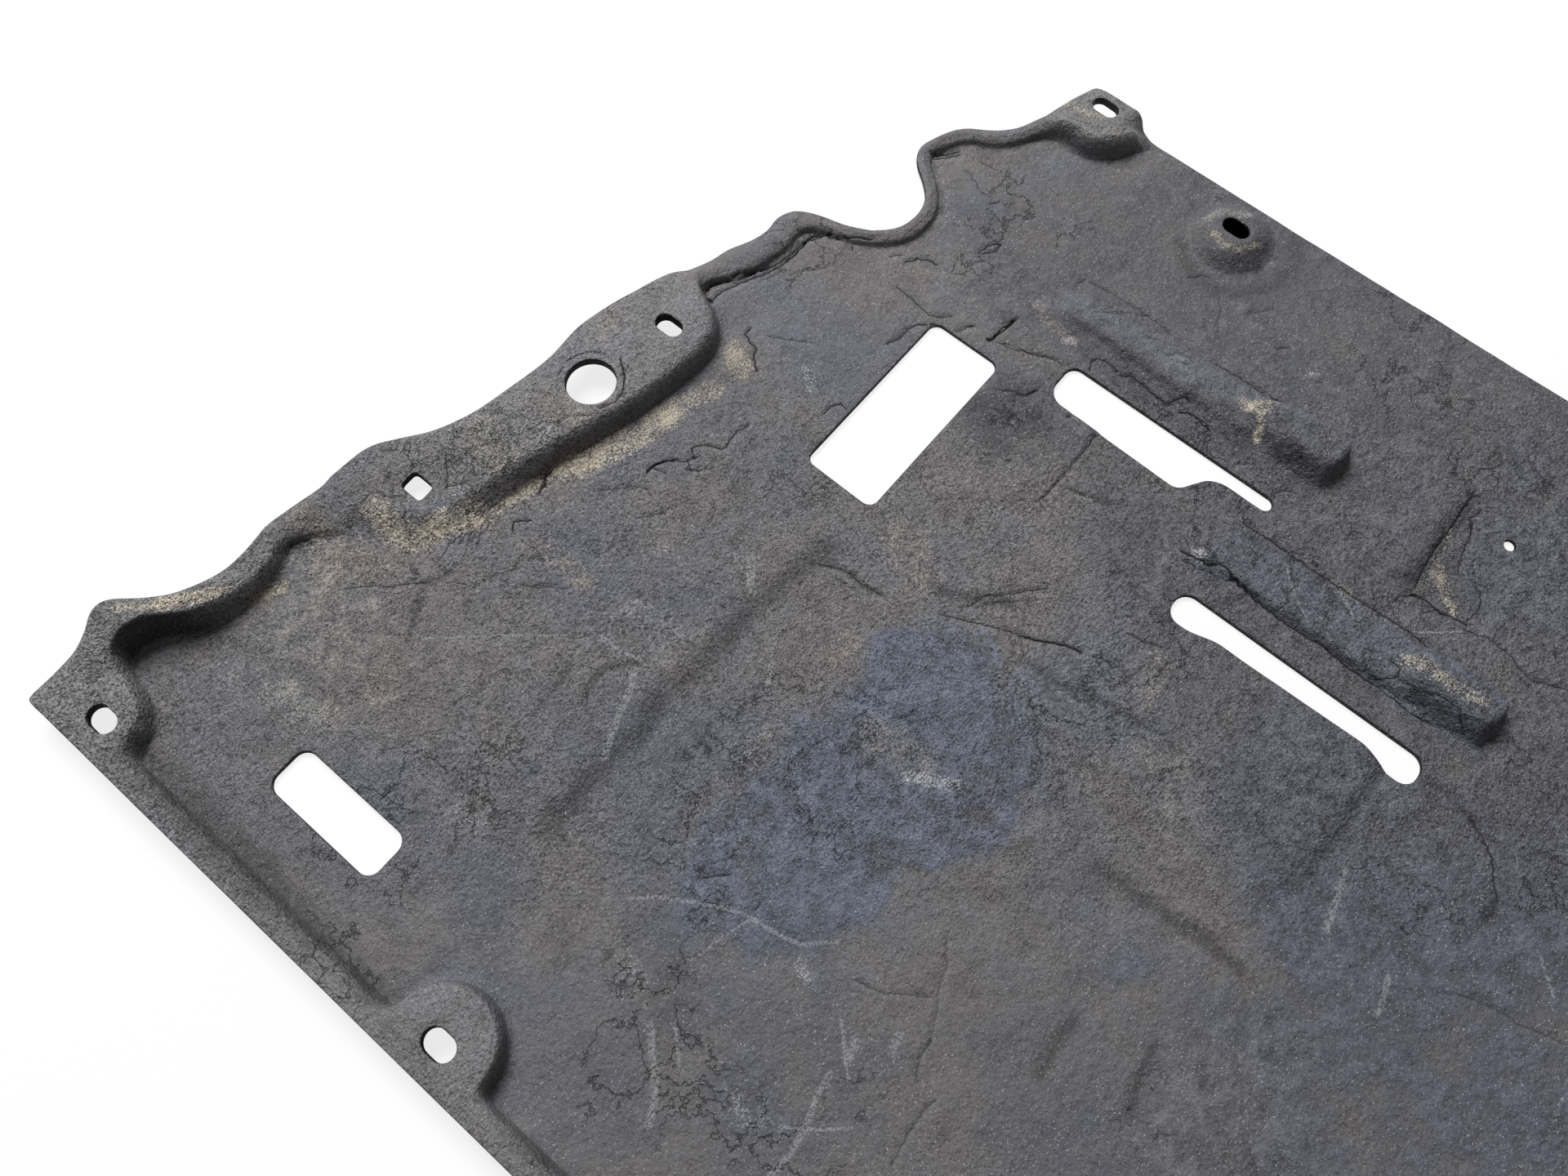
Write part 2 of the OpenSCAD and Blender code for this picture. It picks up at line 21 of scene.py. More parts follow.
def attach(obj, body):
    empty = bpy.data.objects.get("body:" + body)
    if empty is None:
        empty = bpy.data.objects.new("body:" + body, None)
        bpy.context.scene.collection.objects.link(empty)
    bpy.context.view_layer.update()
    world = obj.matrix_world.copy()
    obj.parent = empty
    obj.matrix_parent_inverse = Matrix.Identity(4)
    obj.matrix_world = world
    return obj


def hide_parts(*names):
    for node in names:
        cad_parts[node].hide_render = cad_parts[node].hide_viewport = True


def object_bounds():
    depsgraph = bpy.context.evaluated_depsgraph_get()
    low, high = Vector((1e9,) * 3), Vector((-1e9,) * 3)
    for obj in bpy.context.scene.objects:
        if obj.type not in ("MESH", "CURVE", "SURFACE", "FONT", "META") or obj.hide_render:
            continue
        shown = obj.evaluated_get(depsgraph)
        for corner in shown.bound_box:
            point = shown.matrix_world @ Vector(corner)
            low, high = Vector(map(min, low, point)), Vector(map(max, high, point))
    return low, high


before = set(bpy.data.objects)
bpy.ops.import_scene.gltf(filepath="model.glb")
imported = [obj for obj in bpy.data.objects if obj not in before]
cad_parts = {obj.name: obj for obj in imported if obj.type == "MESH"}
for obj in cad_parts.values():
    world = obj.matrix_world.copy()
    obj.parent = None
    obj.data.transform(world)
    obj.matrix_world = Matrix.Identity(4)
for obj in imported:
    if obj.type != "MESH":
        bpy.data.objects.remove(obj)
CAD_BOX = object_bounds()
MM = 0.001
LOG = logging.getLogger("cover")
Array = np.ndarray
Colour = tuple[float, float, float]

# The photograph's eye in the frame, the way it looks over the floor, and the sheet's thickness
EYE = (-254.5, -56.0, 690.0)
HEADING = (0.765, 0.644)
SHEET = 3.2
WHITE = (1.0, 1.0, 1.0)


# Plane geometry on whole arrays


def lengths(vectors: Array) -> Array:
    """Length of each vector in the last axis."""
    return np.sqrt((vectors * vectors).sum(axis=-1))


def unit(vectors: Array) -> Array:
    """Each vector divided by its own length."""
    return vectors / np.maximum(1e-9, lengths(vectors))[..., None]


def soft_step(share: Array) -> Array:
    """Rise from 0 to 1 with level ends: 3u^2 - 2u^3, with u held between 0 and 1."""
    u = np.clip(share, 0.0, 1.0)
    return u * u * (3.0 - 2.0 * u)


def bell(share: Array) -> Array:
    """Soft hump: 1 where share is 0, falling to 0 at 1 as (1 - u^2)^2."""
    u = np.clip(np.abs(share), 0.0, 1.0)
    return (1.0 - u * u) ** 2


def left_of(loop: Array) -> Array:
    """Unit normals on the left of a closed loop: the chord between a point's neighbours, turned left."""
    along = unit(np.roll(loop, -1, 0) - np.roll(loop, 1, 0))
    return np.stack([-along[:, 1], along[:, 0]], 1)


def counter_clockwise(loop: Array) -> Array:
    """Turn a loop round, if need be, so that the sum of its cross products is positive.

    Args:
        loop: Closed loop, one point a row.

    Returns:
        The loop, counter-clockwise.
    """
    nxt = np.roll(loop, -1, 0)
    area = (loop[:, 0] * nxt[:, 1] - nxt[:, 0] * loop[:, 1]).sum()
    return loop if area > 0 else loop[::-1].copy()


def subdivided(loop: Array, longest: float) -> Array:
    """Cut each side of a closed loop into the fewest equal parts no longer than a given length.

    Args:
        loop: Corner points, one a row.
        longest: Greatest length of a part.

    Returns:
        The corner points and the new points between them: corner + share * side.
    """
    side = np.roll(loop, -1, 0) - loop
    parts = np.maximum(1, np.ceil(lengths(side) / longest)).astype(int)
    which = np.repeat(np.arange(len(loop)), parts)
    share = (np.arange(parts.sum()) - np.repeat(np.cumsum(parts) - parts, parts)) / parts[which]
    return loop[which] + side[which] * share[:, None]


def resampled(path: Array, spacing: float) -> Array:
    """Space points evenly along an open path, by linear blending over its running length.

    Args:
        path: Points of the path.
        spacing: Greatest distance between the new points.

    Returns:
        The new points, both ends kept.
    """
    run = np.concatenate([[0.0], np.cumsum(lengths(np.diff(path, axis=0)))])
    stops = np.linspace(0.0, run[-1], max(2, int(math.ceil(run[-1] / spacing)) + 1))
    return np.stack([np.interp(stops, run, path[:, k]) for k in range(2)], 1)


def nearest(points: Array, starts: Array, ends: Array, block: int = 2048) -> tuple[Array, Array, Array]:
    """Find each point's closest place on a set of straight pieces.

    The foot of the perpendicular on a piece is start + t * side, with t held between 0 and 1.

    Args:
        points: Points, one a row.
        starts: First end of each piece.
        ends: Second end of each piece.
        block: Points handled together.

    Returns:
        The distance, the number of the closest piece and the share t along it, for each point.
    """
    side = ends - starts
    square = np.maximum(1e-12, (side * side).sum(1))
    dist, piece, share = np.empty(len(points)), np.empty(len(points), int), np.empty(len(points))
    for low in range(0, len(points), block):
        part = points[low : low + block]
        dx = part[:, None, 0] - starts[None, :, 0]
        dy = part[:, None, 1] - starts[None, :, 1]
        t = np.clip((dx * side[:, 0] + dy * side[:, 1]) / square, 0.0, 1.0)
        gap = (dx - t * side[:, 0]) ** 2 + (dy - t * side[:, 1]) ** 2
        best = gap.argmin(1)
        rows = np.arange(len(part))
        dist[low : low + block] = np.sqrt(gap[rows, best])
        piece[low : low + block] = best
        share[low : low + block] = t[rows, best]
    return dist, piece, share


def inside(points: Array, loops: Sequence[Array], block: int = 4096) -> Array:
    """Tell which points lie inside a set of closed loops by counting the sides crossed to the right.

    Args:
        points: Points, one a row.
        loops: Closed loops; a loop within another one is a hole.
        block: Points handled together.

    Returns:
        True where the count of crossed sides is odd.
    """
    starts = np.vstack(loops)
    ends = np.vstack([np.roll(loop, -1, 0) for loop in loops])
    rise = ends[:, 1] - starts[:, 1]
    slant = (ends[:, 0] - starts[:, 0]) / np.where(rise == 0.0, 1.0, rise)
    found = np.empty(len(points), bool)
    for low in range(0, len(points), block):
        x = points[low : low + block, 0, None]
        y = points[low : low + block, 1, None]
        spans = (starts[:, 1] > y) != (ends[:, 1] > y)
        right = starts[:, 0] + (y - starts[:, 1]) * slant > x
        found[low : low + block] = (spans & right).sum(1) % 2 == 1
    return found


def corner_least(a: Array, b: Array, radius: float) -> Array:
    """Smaller of two distances from two sides that meet in a round corner.

    Where the two differ by less than the radius r, the value is that of the round: with A and B less r,
    half of A + B + sqrt(2 r^2 - (A - B)^2).

    Args:
        a: Distances from the first side.
        b: Distances from the second side.
        radius: Radius of the corner.

    Returns:
        The smaller distance, rounded at the corner.
    """
    gap = np.clip(a - b, -radius, radius)
    round_part = 0.5 * (a + b - 2.0 * radius + np.sqrt(2.0 * radius**2 - gap**2))
    return np.where(np.abs(a - b) < radius, round_part, np.minimum(a, b))


@dataclass(frozen=True)
class Relief:
    """Smooth seeded waviness: random heights on a square lattice, blended between its points."""

    seed: int
    wavelength: float
    height: float
    cells: int = 128
    shift: float = 31.7

    def at(self, xy: Array) -> Array:
        """Blend the four lattice values round each point, weighed by 6u^5 - 15u^4 + 10u^3.

        Args:
            xy: Points, one a row.

        Returns:
            The height at each.
        """
        lattice = np.random.default_rng(self.seed).uniform(-1.0, 1.0, (self.cells, self.cells))
        place = xy / self.wavelength + self.shift
        cell = np.floor(place).astype(int)
        u = place - cell
        across, up = (u * u * u * (u * (6.0 * u - 15.0) + 10.0)).T
        i, j = cell.T % self.cells
        next_i, next_j = (cell.T + 1) % self.cells
        low = lattice[i, j] * (1 - across) + lattice[next_i, j] * across
        high = lattice[i, next_j] * (1 - across) + lattice[next_i, next_j] * across
        return self.height * (low * (1 - up) + high * up)


# The edge of the sheet


def station_rows(*columns: Any) -> Array:
    """Stations from their six columns, a single number filling its column."""
    return np.stack(np.broadcast_arrays(*columns), 1)


@dataclass
class EdgeLine:
    """The free edge, the wall's foot, the flange's height and the wall's plan width, round the cover."""

    half_width: float = 349.0
    half_length: float = 390.0
    corner_radius: float = 14.0
    margin: float = 8.0
    overhang: float = 2.0
    flange_rise: float = 16.0
    rim_width: float = 15.5
    rim_start: float = 30.0
    rim_run: float = 4.0
    rim_gap: float = 14.0
    corner_gap: float = 12.0
    pad_run: float = 7.0
    slope_run: float = 22.0
    lip_rise: float = 27.0
    pad_left_rise: float = 9.5
    bead_rise: float = 6.5
    bead_run: float = 5.0
    lobe_inset: float = 18.5
    lobe_y: float = 95.0
    lobe_radius: float = 31.0
    foot_radius: float = 5.0
    longest_side: float = 4.6

    def rows(self) -> Array:
        """Set the stations round the cover, clockwise from the left rim's rear end.

        Returns:
            A station a row: x and y of the free edge, x and y of the wall's foot, its height and plan width.
        """
        left, front, rear = -self.half_width, self.half_length, -self.half_length
        right = self.half_width - self.overhang
        climb = enumerate((0, 0.08, 0.5, 0.94, 1))
        parts = [self._rim(rear + self.rim_start + self.rim_gap * k, share) for k, share in climb]
        parts += [self._rim(self.lobe_y - self.lobe_radius - self.rim_gap * k, 1) for k in (2, 1)]
        parts.append(self._lobe())
        parts += [self._rim(self.lobe_y + self.lobe_radius + self.rim_gap * k, 1) for k in (1, 2)]
        parts.append(self._left_front() + np.array([left, front, left, front, 0, 0]))
        parts.append(self._front_pad() + np.array([0, front, 0, front, 0, 0]))
        parts.append(self._bead() + np.array([-left, front, -left, front, 0, 0]))
        for k in (2, 1):
            y = rear + self.corner_radius + self.corner_gap * k
            parts.append(np.array([[right, y, right - self.margin, y, 0, self.rim_run]]))
        parts.append(self._rear_corner(right - self.corner_radius, 1))
        inset = self.corner_radius + self.corner_gap
        for x in (right - inset, left + inset):
            parts.append(np.array([[x, rear, x, rear + self.margin, 0, self.rim_run]]))
        parts.append(self._rear_corner(left + self.corner_radius, -1))
        return np.vstack(parts).astype(float)

    def _rim(self, y: float, share: float) -> Array:
        """One station on the left rim at a share of the flange's full height."""
        left = -self.half_width
        return np.array([[left, y, left + self.rim_width, y, share * self.flange_rise, self.rim_run]])

    def _rear_corner(self, centre_x: float, side: int) -> Array:
        """Set a quarter circle of stations about a centre: r cos a to its side and r sin a toward the rear.

        Args:
            centre_x: The centre's x.
            side: 1 for the right corner, -1 for the left.

        Returns:
            Station rows; the foot's arc has the radius less the margin.
        """
        a = np.radians(np.arange(0, 91, 30)[::side])
        centre_y = self.corner_radius - self.half_length
        inner = self.corner_radius - self.margin
        out, back = side * np.cos(a), -np.sin(a)
        return station_rows(
            centre_x + self.corner_radius * out,
            centre_y + self.corner_radius * back,
            centre_x + inner * out,
            centre_y + inner * back,
            0.0,
            self.rim_run,
        )

    def _lobe(self) -> Array:
        """Set the side lobe: a foot on an arc about its hole, blended into the rim by two small arcs.

        Returns:
            Station rows, toward the front.
        """
        left = -self.half_width
        foot_x = left + self.rim_width
        centre_x = left + self.lobe_inset
        dx = foot_x + self.foot_radius - centre_x
        dy = math.sqrt((self.lobe_radius + self.foot_radius) ** 2 - dx * dx)
        reach = math.atan2(dy, dx)

        def blend(angles: Sequence[float], side: int) -> Array:
            """Set the small arc on one side, x = centre + r (1 + cos a) and y = centre + r sin a.

            Args:
                angles: Angles in degrees.
                side: 1 behind the lobe, -1 ahead of it.

            Returns:
                Station rows.
            """
            a = np.radians(angles)
            y = self.lobe_y - side * dy
            return station_rows(
                left,
                y + side * (self.foot_radius + self.rim_run) * np.sin(a),
                foot_x + self.foot_radius * (1 + np.cos(a)),
                y + side * self.foot_radius * np.sin(a),
                self.flange_rise,
                self.rim_run,
            )

        a = np.linspace(-reach, reach, 9)
        arc = station_rows(
            left,
            self.lobe_y + (self.lobe_radius - self.rim_run) * np.sin(a),
            centre_x + self.lobe_radius * np.cos(a),
            self.lobe_y + self.lobe_radius * np.sin(a),
            self.flange_rise,
            self.rim_run,
        )
        return np.vstack([blend((180, 150, 120), 1), arc, blend((120, 150, 180), -1)])

    def _left_front(self) -> Array:
        """Set the left front pad and the tall lip.

        Returns:
            Station rows from the left front corner.
        """
        h, lip, low = self.flange_rise, self.lip_rise, self.pad_left_rise
        w, run, thin = self.rim_width, self.pad_run - 1, self.rim_run
        return np.array([
            [0, -96, w, -96, h, thin],
            [0, -84, w, -84, h, thin],
            [0, -74, w, -74, h, run - 1],
            [0, -68, w + 1.2, -70, h, run],
            [0, -62, w + 4.7, -67.3, h, run],
            [0, -50, 27, -65.8, h, run],
            [0, -34, 34.5, -60.5, h, run],
            [0, -20, 40, -53, h, run],
            [0, -10.5, 42.4, -46, h, run],
            [1.8, -7.4, 43.5, -39.5, h, run],
            [18, -6.5, 44.4, -33.5, h, run],
            [34, -5.3, 46, -28.5, h + 1, run],
            [45, -3, 49, -25.3, 0.8 * lip, run],
            [51.5, -0.7, 53, -24.4, 0.93 * lip, run],
            [58, 0, 58, -24.4, lip, run],
            [65, -3, 66, -26.6, lip, run],
            [77, -15, 74.5, -33, 0.93 * lip, run],
            [89, -23.5, 84, -40.3, 0.85 * lip, run],
            [105, -28.7, 99, -45.8, 0.72 * lip, run],
            [117, -29.6, 114, -47.8, h, run],
            [129, -29, 127, -47.4, h - 1, run],
            [140, -26.4, 138, -43.8, h - 3, run - 1],
            [151.2, -23, 148, -38.8, low + 1, run - 1],
            [166.5, -23.6, 159, -42, low - 1, run + 1],
        ])

    def _front_pad(self) -> Array:
        """Set the front pad, from the middle of the front edge's left part to the bead.

        Returns:
            Station rows from the middle of the front edge.
        """
        h, low, run, slope = self.flange_rise, self.pad_left_rise, self.pad_run, self.slope_run
        between = (self.flange_rise + self.bead_rise) / 2
        return np.array([
            [-166.2, -26.4, -180, -50, low - 1, slope - 7],
            [-153, -27.6, -172, -62, low - 0.5, slope - 3],
            [-142.9, -28.4, -165, -76, low, slope - 1],
            [-133.8, -29.3, -156, -90, low, slope],
            [-124.9, -32.5, -143, -101.5, low, slope - 2],
            [-114, -40, -126, -107.5, low, slope - 5],
            [-99.4, -52.3, -106, -109.5, low + 3, slope - 9],
            [-78, -63, -80, -114, h - 0.5, run + 3],
            [-50, -68.5, -50, -121.3, h, run + 1],
            [-22, -72, -21, -129.3, h, run],
            [2, -70.4, -1, -133.6, h, run],
            [18, -72.4, 19, -136.7, h, run],
            [33, -75.8, 38, -138.2, h, run],
            [45, -79.4, 53, -135.8, h, run],
            [54, -82, 63.5, -128, h, run],
            [61, -84.2, 69.5, -118, h, run],
            [67.5, -86.2, 73.2, -109, h - 1, run - 1],
            [75.5, -88.8, 78, -103.5, between, self.bead_run + 1],
            [85.3, -90.6, 83, -104, self.bead_rise + 1, self.bead_run],
            [95.3, -93.5, 90, -107.6, self.bead_rise, self.bead_run],
        ])

    def _bead(self) -> Array:
        """Set the narrow bead and the right corner pad, down to the plain right edge.

        Returns:
            Station rows from the right front corner.
        """
        b, c, h, run, out = self.bead_rise, self.bead_run, self.flange_rise, self.pad_run, self.overhang
        return np.array([
            [-242.2, -95.9, -250.5, -114.4, b, c],
            [-226.4, -102.7, -230.6, -120, b, c],
            [-214.7, -105.1, -215.7, -122.3, b, c],
            [-202.7, -104.1, -203.5, -121.2, b, c],
            [-192.7, -108.7, -197, -124.4, b, c],
            [-185.9, -120.4, -192.4, -133, b, c],
            [-180.5, -140.1, -187.6, -147.3, b, c],
            [-173.7, -154.4, -181.3, -159, b, c],
            [-165.7, -163.1, -173, -169, b, c],
            [-158.3, -167.3, -163.5, -175.8, b, c],
            [-149, -168.9, -151, -178.7, b, c],
            [-141.2, -168.3, -140.5, -178, b, c],
            [-132.3, -164.6, -129.1, -173.2, b, c],
            [-124.4, -156.8, -119.3, -164.3, b, c],
            [-115.7, -145.5, -111, -154.3, b, c],
            [-108.7, -140.1, -105.8, -149, b, c],
            [-101.2, -138.7, -99.6, -147.4, b, c],
            [-91, -141.4, -91.5, -150.8, b, c],
            [-79.2, -146.9, -83.3, -155, b, c],
            [-72.3, -152.6, -77.6, -161, b, c],
            [-66.4, -161.1, -73, -170.2, b, c],
            [-60.5, -168.6, -67.8, -177, b, c],
            [-51.4, -176.8, -59.4, -183.5, b + 0.5, c],
            [-40.5, -182.1, -49.4, -189.3, b + 1.5, c],
            [-31, -188, -42.5, -195, (h + b) / 2, c + 1],
            [-20.5, -193.4, -39.8, -202.5, h, run - 1],
            [-9, -197.4, -40.3, -210.5, h, run],
            [-2, -200.6, -40.3, -218, h, run],
            [0, -208, -38, -225.5, h, run],
            [0, -218, -34, -231.7, h, run],
            [0, -227, -27.5, -238, h, run],
            [0, -232, -20.5, -242, h, run],
            [-0.5, -236.5, -15.5, -244.5, 0.75 * h, run],
            [-0.8 * out, -241.5, -out - 9.6, -248, 0.25 * h, run - 1],
            [-out, -247, -out - self.margin, -254, 0, self.rim_run],
            [-out, -258, -out - self.margin, -264, 0, self.rim_run],
        ])

    def stations(self) -> tuple[Array, Array]:
        """Carry every column of the rows along one smooth closed curve.

        Each span is a Hermite piece b h00 + m h10 + c h01 + n h11. Its end slopes m and n are weighed by
        the roots of the neighbouring spans' lengths. A span gets as many steps as its length needs.

        Returns:
            The stations, and the unit direction from the foot outward at each.
        """
        rows = self.rows()
        reach = np.roll(rows, -1, 0) - rows
        longest = np.maximum(lengths(reach[:, 0:2]), lengths(reach[:, 2:4]))
        steps = np.maximum(3, np.ceil(longest / self.longest_side)).astype(int)
        which = np.repeat(np.arange(len(rows)), steps)
        share = (np.arange(steps.sum()) - np.repeat(np.cumsum(steps) - steps, steps)) / steps[which]
        at = which + share
        chord = unit(self._curve(rows, at + 0.5)[:, 2:4] - self._curve(rows, at - 0.5)[:, 2:4])
        return self._curve(rows, at), np.stack([-chord[:, 1], chord[:, 0]], 1)

    @staticmethod
    def _curve(rows: Array, at: Array) -> Array:
        """Value of the smooth curve, taken round the loop.

        Args:
            rows: Station rows a, b, c and d, of which a span runs from b to c.
            at: Row numbers with a fraction.

        Returns:
            A row for each number.
        """
        b = rows
        a, c, d = np.roll(b, 1, 0), np.roll(b, -1, 0), np.roll(b, -2, 0)
        spans = ((b - a)[:, :4], (c - b)[:, :4], (d - c)[:, :4])
        p, q, r = (np.sqrt(np.maximum(1.0, lengths(span)))[:, None] for span in spans)
        m = q * ((b - a) / p - (c - a) / (p + q)) + c - b
        n = q * ((d - c) / r - (d - b) / (q + r)) + c - b
        i = np.floor(at).astype(int) % len(rows)
        t = (at - np.floor(at))[:, None]
        return (
            b[i] * (2 * t**3 - 3 * t**2 + 1)
            + m[i] * (t**3 - 2 * t**2 + t)
            + c[i] * (3 * t**2 - 2 * t**3)
            + n[i] * (t**3 - t**2)
        )


# Holes and openings


@dataclass(frozen=True)
class RoundedOpening:
    """A cut-out of the floor: straight sides joined by arcs, each row being a corner's x, y and radius."""

    rows: tuple[tuple[float, float, float], ...]
    arc_steps: int = 8
    longest_side: float = 4.5

    def loop(self) -> Array:
        """Join the sides by arcs.

        At a corner q with unit directions a and b to its neighbours, the arc's centre is
        q + unit(a + b) r / sin(half angle), and the arc runs between the feet of its perpendiculars.

        Returns:
            The outline, counter-clockwise.
        """
        table = np.array(self.rows, float)
        q, r = table[:, :2], table[:, 2:3]
        a, b = unit(np.roll(q, 1, 0) - q), unit(np.roll(q, -1, 0) - q)
        half = np.arccos(np.clip((a * b).sum(1, keepdims=True), -1, 1)) / 2
        centre = q + unit(a + b) * r / np.sin(half)
        start, stop = q + a * r / np.tan(half) - centre, q + b * r / np.tan(half) - centre
        first = np.arctan2(start[:, 1], start[:, 0])
        turn = (np.arctan2(stop[:, 1], stop[:, 0]) - first + 3 * np.pi) % (2 * np.pi) - np.pi
        angle = first[:, None] + turn[:, None] * np.linspace(0, 1, self.arc_steps + 1)
        arcs = centre[:, None] + r[:, None] * np.stack([np.cos(angle), np.sin(angle)], 2)
        return subdivided(counter_clockwise(arcs.reshape(-1, 2)), self.longest_side)


def box_rows(x0: float, y0: float, x1: float, y1: float, r: float) -> tuple[tuple[float, float, float], ...]:
    """Corner rows of a rectangle with one corner radius."""
    return ((x0, y0, r), (x1, y0, r), (x1, y1, r), (x0, y1, r))


@dataclass(frozen=True)
class FixingHole:
    """A hole of the fixing flange or dome, with round ends, or round where length equals width.

    square is 0 for true half-circle ends and grows as the ends become flat with round corners. lip is how
    far the hole's wall reaches down under the sheet.
    """

    x: float
    y: float
    width: float
    length: float
    seat: float = 0.0
    square: float = 0.0
    steps: int = 12
    lip: float = 0.0
    longest_side: float = 3.0

    def loop(self) -> Array:
        """Join two half turns of |cos|^p, |sin|^p about the ends' centres.

        Returns:
            The outline, counter-clockwise.
        """
        power = 1.0 - 0.5 * self.square
        a = np.linspace(0, np.pi, self.steps + 1)
        cap = np.stack([np.sign(np.cos(a)) * np.abs(np.cos(a)) ** power, np.abs(np.sin(a)) ** power], 1)
        r, shift = self.width / 2, (self.length - self.width) / 2
        ends = np.vstack([cap * r + [0, shift], -cap * r - [0, shift]])
        keep = lengths(np.roll(ends, -1, 0) - ends) > 1e-6
        return subdivided(counter_clockwise(ends[keep]), self.longest_side) + [self.x, self.y]


# Height of the sheet


@dataclass(frozen=True)
class RaisedForm:
    """A block, strip or swell pressed up from the floor, given by its right rear corner and sizes."""

    right: float
    rear: float
    width: float
    length: float
    rise: float
    left_run: float
    right_run: float
    rear_run: float
    front_run: float
    climb: float = 0.0
    sunk: float = 0.8

    def height(self, xy: Array, inset: float = 0.0) -> Array:
        """Height over the floor: (rise + sunk) * ease(u) * climb - sunk, never below 0.

        u is the least of the distances from the four sides, each over that wall's plan width, with the
        corners rounded.

        Args:
            xy: Points, one a row.
            inset: How far the sides move in, for the underside.

        Returns:
            The height at each point.
        """
        x, y = xy[:, 0], xy[:, 1]
        left = (x - self.right + self.width - inset) / self.left_run
        side = np.minimum(left, (self.right - x - inset) / self.right_run)
        front = (self.rear + self.length - y - inset) / self.front_run
        ends = np.minimum((y - self.rear - inset) / self.rear_run, front)
        u = np.clip(corner_least(side, ends, 1.0), 0, 1)
        climb = np.clip((self.rear + self.length - y) / self.climb, 0, 1) if self.climb > 0 else 1.0
        return np.maximum(0.0, (self.rise + self.sunk) * ease(u) * climb - self.sunk)


def ease(u: Array) -> Array:
    """Height share along a wall from foot to crest: u - 0.85 sin(2 pi u) / 2 pi."""
    return u - 0.85 * np.sin(2 * np.pi * u) / (2 * np.pi)


@dataclass(frozen=True)
class Dome:
    """The round dome with a flat top and a fixing hole; flare is how much of its side is 2u - u^2."""

    x: float = 316.0
    y: float = 62.5
    radius: float = 27.5
    top_radius: float = 10.5
    rise: float = 11.5
    sunk: float = 0.8
    flare: float = 0.6

    def height(self, xy: Array, inset: float = 0.0) -> Array:
        """Height over the floor: (rise + sunk) * ((1 - flare) ease(u) + flare (2u - u^2)) - sunk.

        Args:
            xy: Points, one a row.
            inset: How far the side moves in, for the underside.

        Returns:
            The height at each point, never below 0; u runs from the foot to the top's edge.
        """
        away = lengths(xy - [self.x, self.y])
        u = np.clip((self.radius - inset - away) / (self.radius - self.top_radius), 0, 1)
        share = (1 - self.flare) * ease(u) + self.flare * (2 * u - u * u)
        return np.maximum(0.0, (self.rise + self.sunk) * share - self.sunk)


@dataclass(frozen=True)
class Dent:
    """A soft bump or hollow: height times a bell over an ellipse turned by an angle in degrees."""

    x: float
    y: float
    long: float
    wide: float
    angle: float
    height: float

    def at(self, xy: Array) -> Array:
        """Height at each point.

        Args:
            xy: Points, one a row.

        Returns:
            height times a bell of the distance from the middle, as a share of the ellipse.
        """
        a = math.radians(self.angle)
        dx, dy = xy[:, 0] - self.x, xy[:, 1] - self.y
        u = (dx * math.cos(a) + dy * math.sin(a)) / self.long
        v = (dy * math.cos(a) - dx * math.sin(a)) / self.wide
        return self.height * bell(np.sqrt(u * u + v * v))


CRACK_WANDER = 0.55


class MarkKind(Enum):
    """What a line on the sheet is."""

    CRACK = "crack"
    CREASE = "crease"
    SCRATCH = "scratch"


@dataclass(frozen=True)
class Mark:
    """A line on the sheet: half its width, its depth, and its points as seen on the floor's top face."""

    kind: MarkKind
    half: float
    depth: float
    points: tuple[tuple[float, float], ...]
    level: float = SHEET

    def path(self, seed: int) -> Array:
        """Space points evenly along the mark, with a small wander across a crack.

        Args:
            seed: Seed of the wander.

        Returns:
            The points, the ends unmoved.
        """
        spacing = {MarkKind.CRACK: 1.7, MarkKind.CREASE: 5.0, MarkKind.SCRATCH: 3.0}[self.kind]
        line = resampled(grounded(np.array(self.points, float), self.level), spacing)
        if self.kind is MarkKind.CRACK and len(line) > 2:
            wander = np.random.default_rng(seed).uniform(-CRACK_WANDER, CRACK_WANDER, line.shape)
            wander[[0, -1]] = 0.0
            line = line + wander
        return line

    def borders(self, line: Array) -> list[Array]:
        """The mark's line and its two borders, half a width to either side."""
        side = unit(np.gradient(line, axis=0)) @ np.array([[0.0, 1.0], [-1.0, 0.0]]) * self.half
        return [line, line + side, line - side]

    def share(self, xy: Array, line: Array) -> tuple[Array, Array]:
        """Tell how near points lie to the mark's line.

        Args:
            xy: Points, one a row.
            line: The mark's path.

        Returns:
            Which points lie in the line's box, and for those 1 - distance / half width, never below 0.
        """
        near = ((xy > line.min(0) - self.half) & (xy < line.max(0) + self.half)).all(1)
        away = nearest(xy[near], line[:-1], line[1:])[0]
        return near, np.clip(1.0 - away / self.half, 0, 1)


def grounded(seen: Array, level: float) -> Array:
    """Move points from where the eye sees them on the table to their place at a height over it.

    A point at height z moves toward the place under the eye by the share z / eye height. The y of a seen
    point is counted from the eye.

    Args:
        seen: Points as seen on the table.
        level: Their height over it.

    Returns:
        The points in the frame.
    """
    under = np.array([EYE[0], 0.0])
    return under + (seen - under) * (1.0 - level / EYE[2]) + [0.0, EYE[1]]


@dataclass(frozen=True)
class DepositAndShade:
    """Dirt, pale patches and painted shade, each a spot or a streak along points with its colour and how
    strong it is.
    """

    half: float
    colour: Colour
    strength: float
    points: tuple[tuple[float, float], ...]
    level: float = SHEET

    def cover(self, xy: Array) -> Array:
        """How much lies at each point: strength times a bell over the distance from the streak.

        Args:
            xy: Points, one a row.

        Returns:
            The amount at each.
        """
        line = grounded(np.array(self.points, float), self.level)
        away = nearest(xy, line[:-1], line[1:])[0] if len(line) > 1 else lengths(xy - line[0])
        return self.strength * bell(away / self.half)


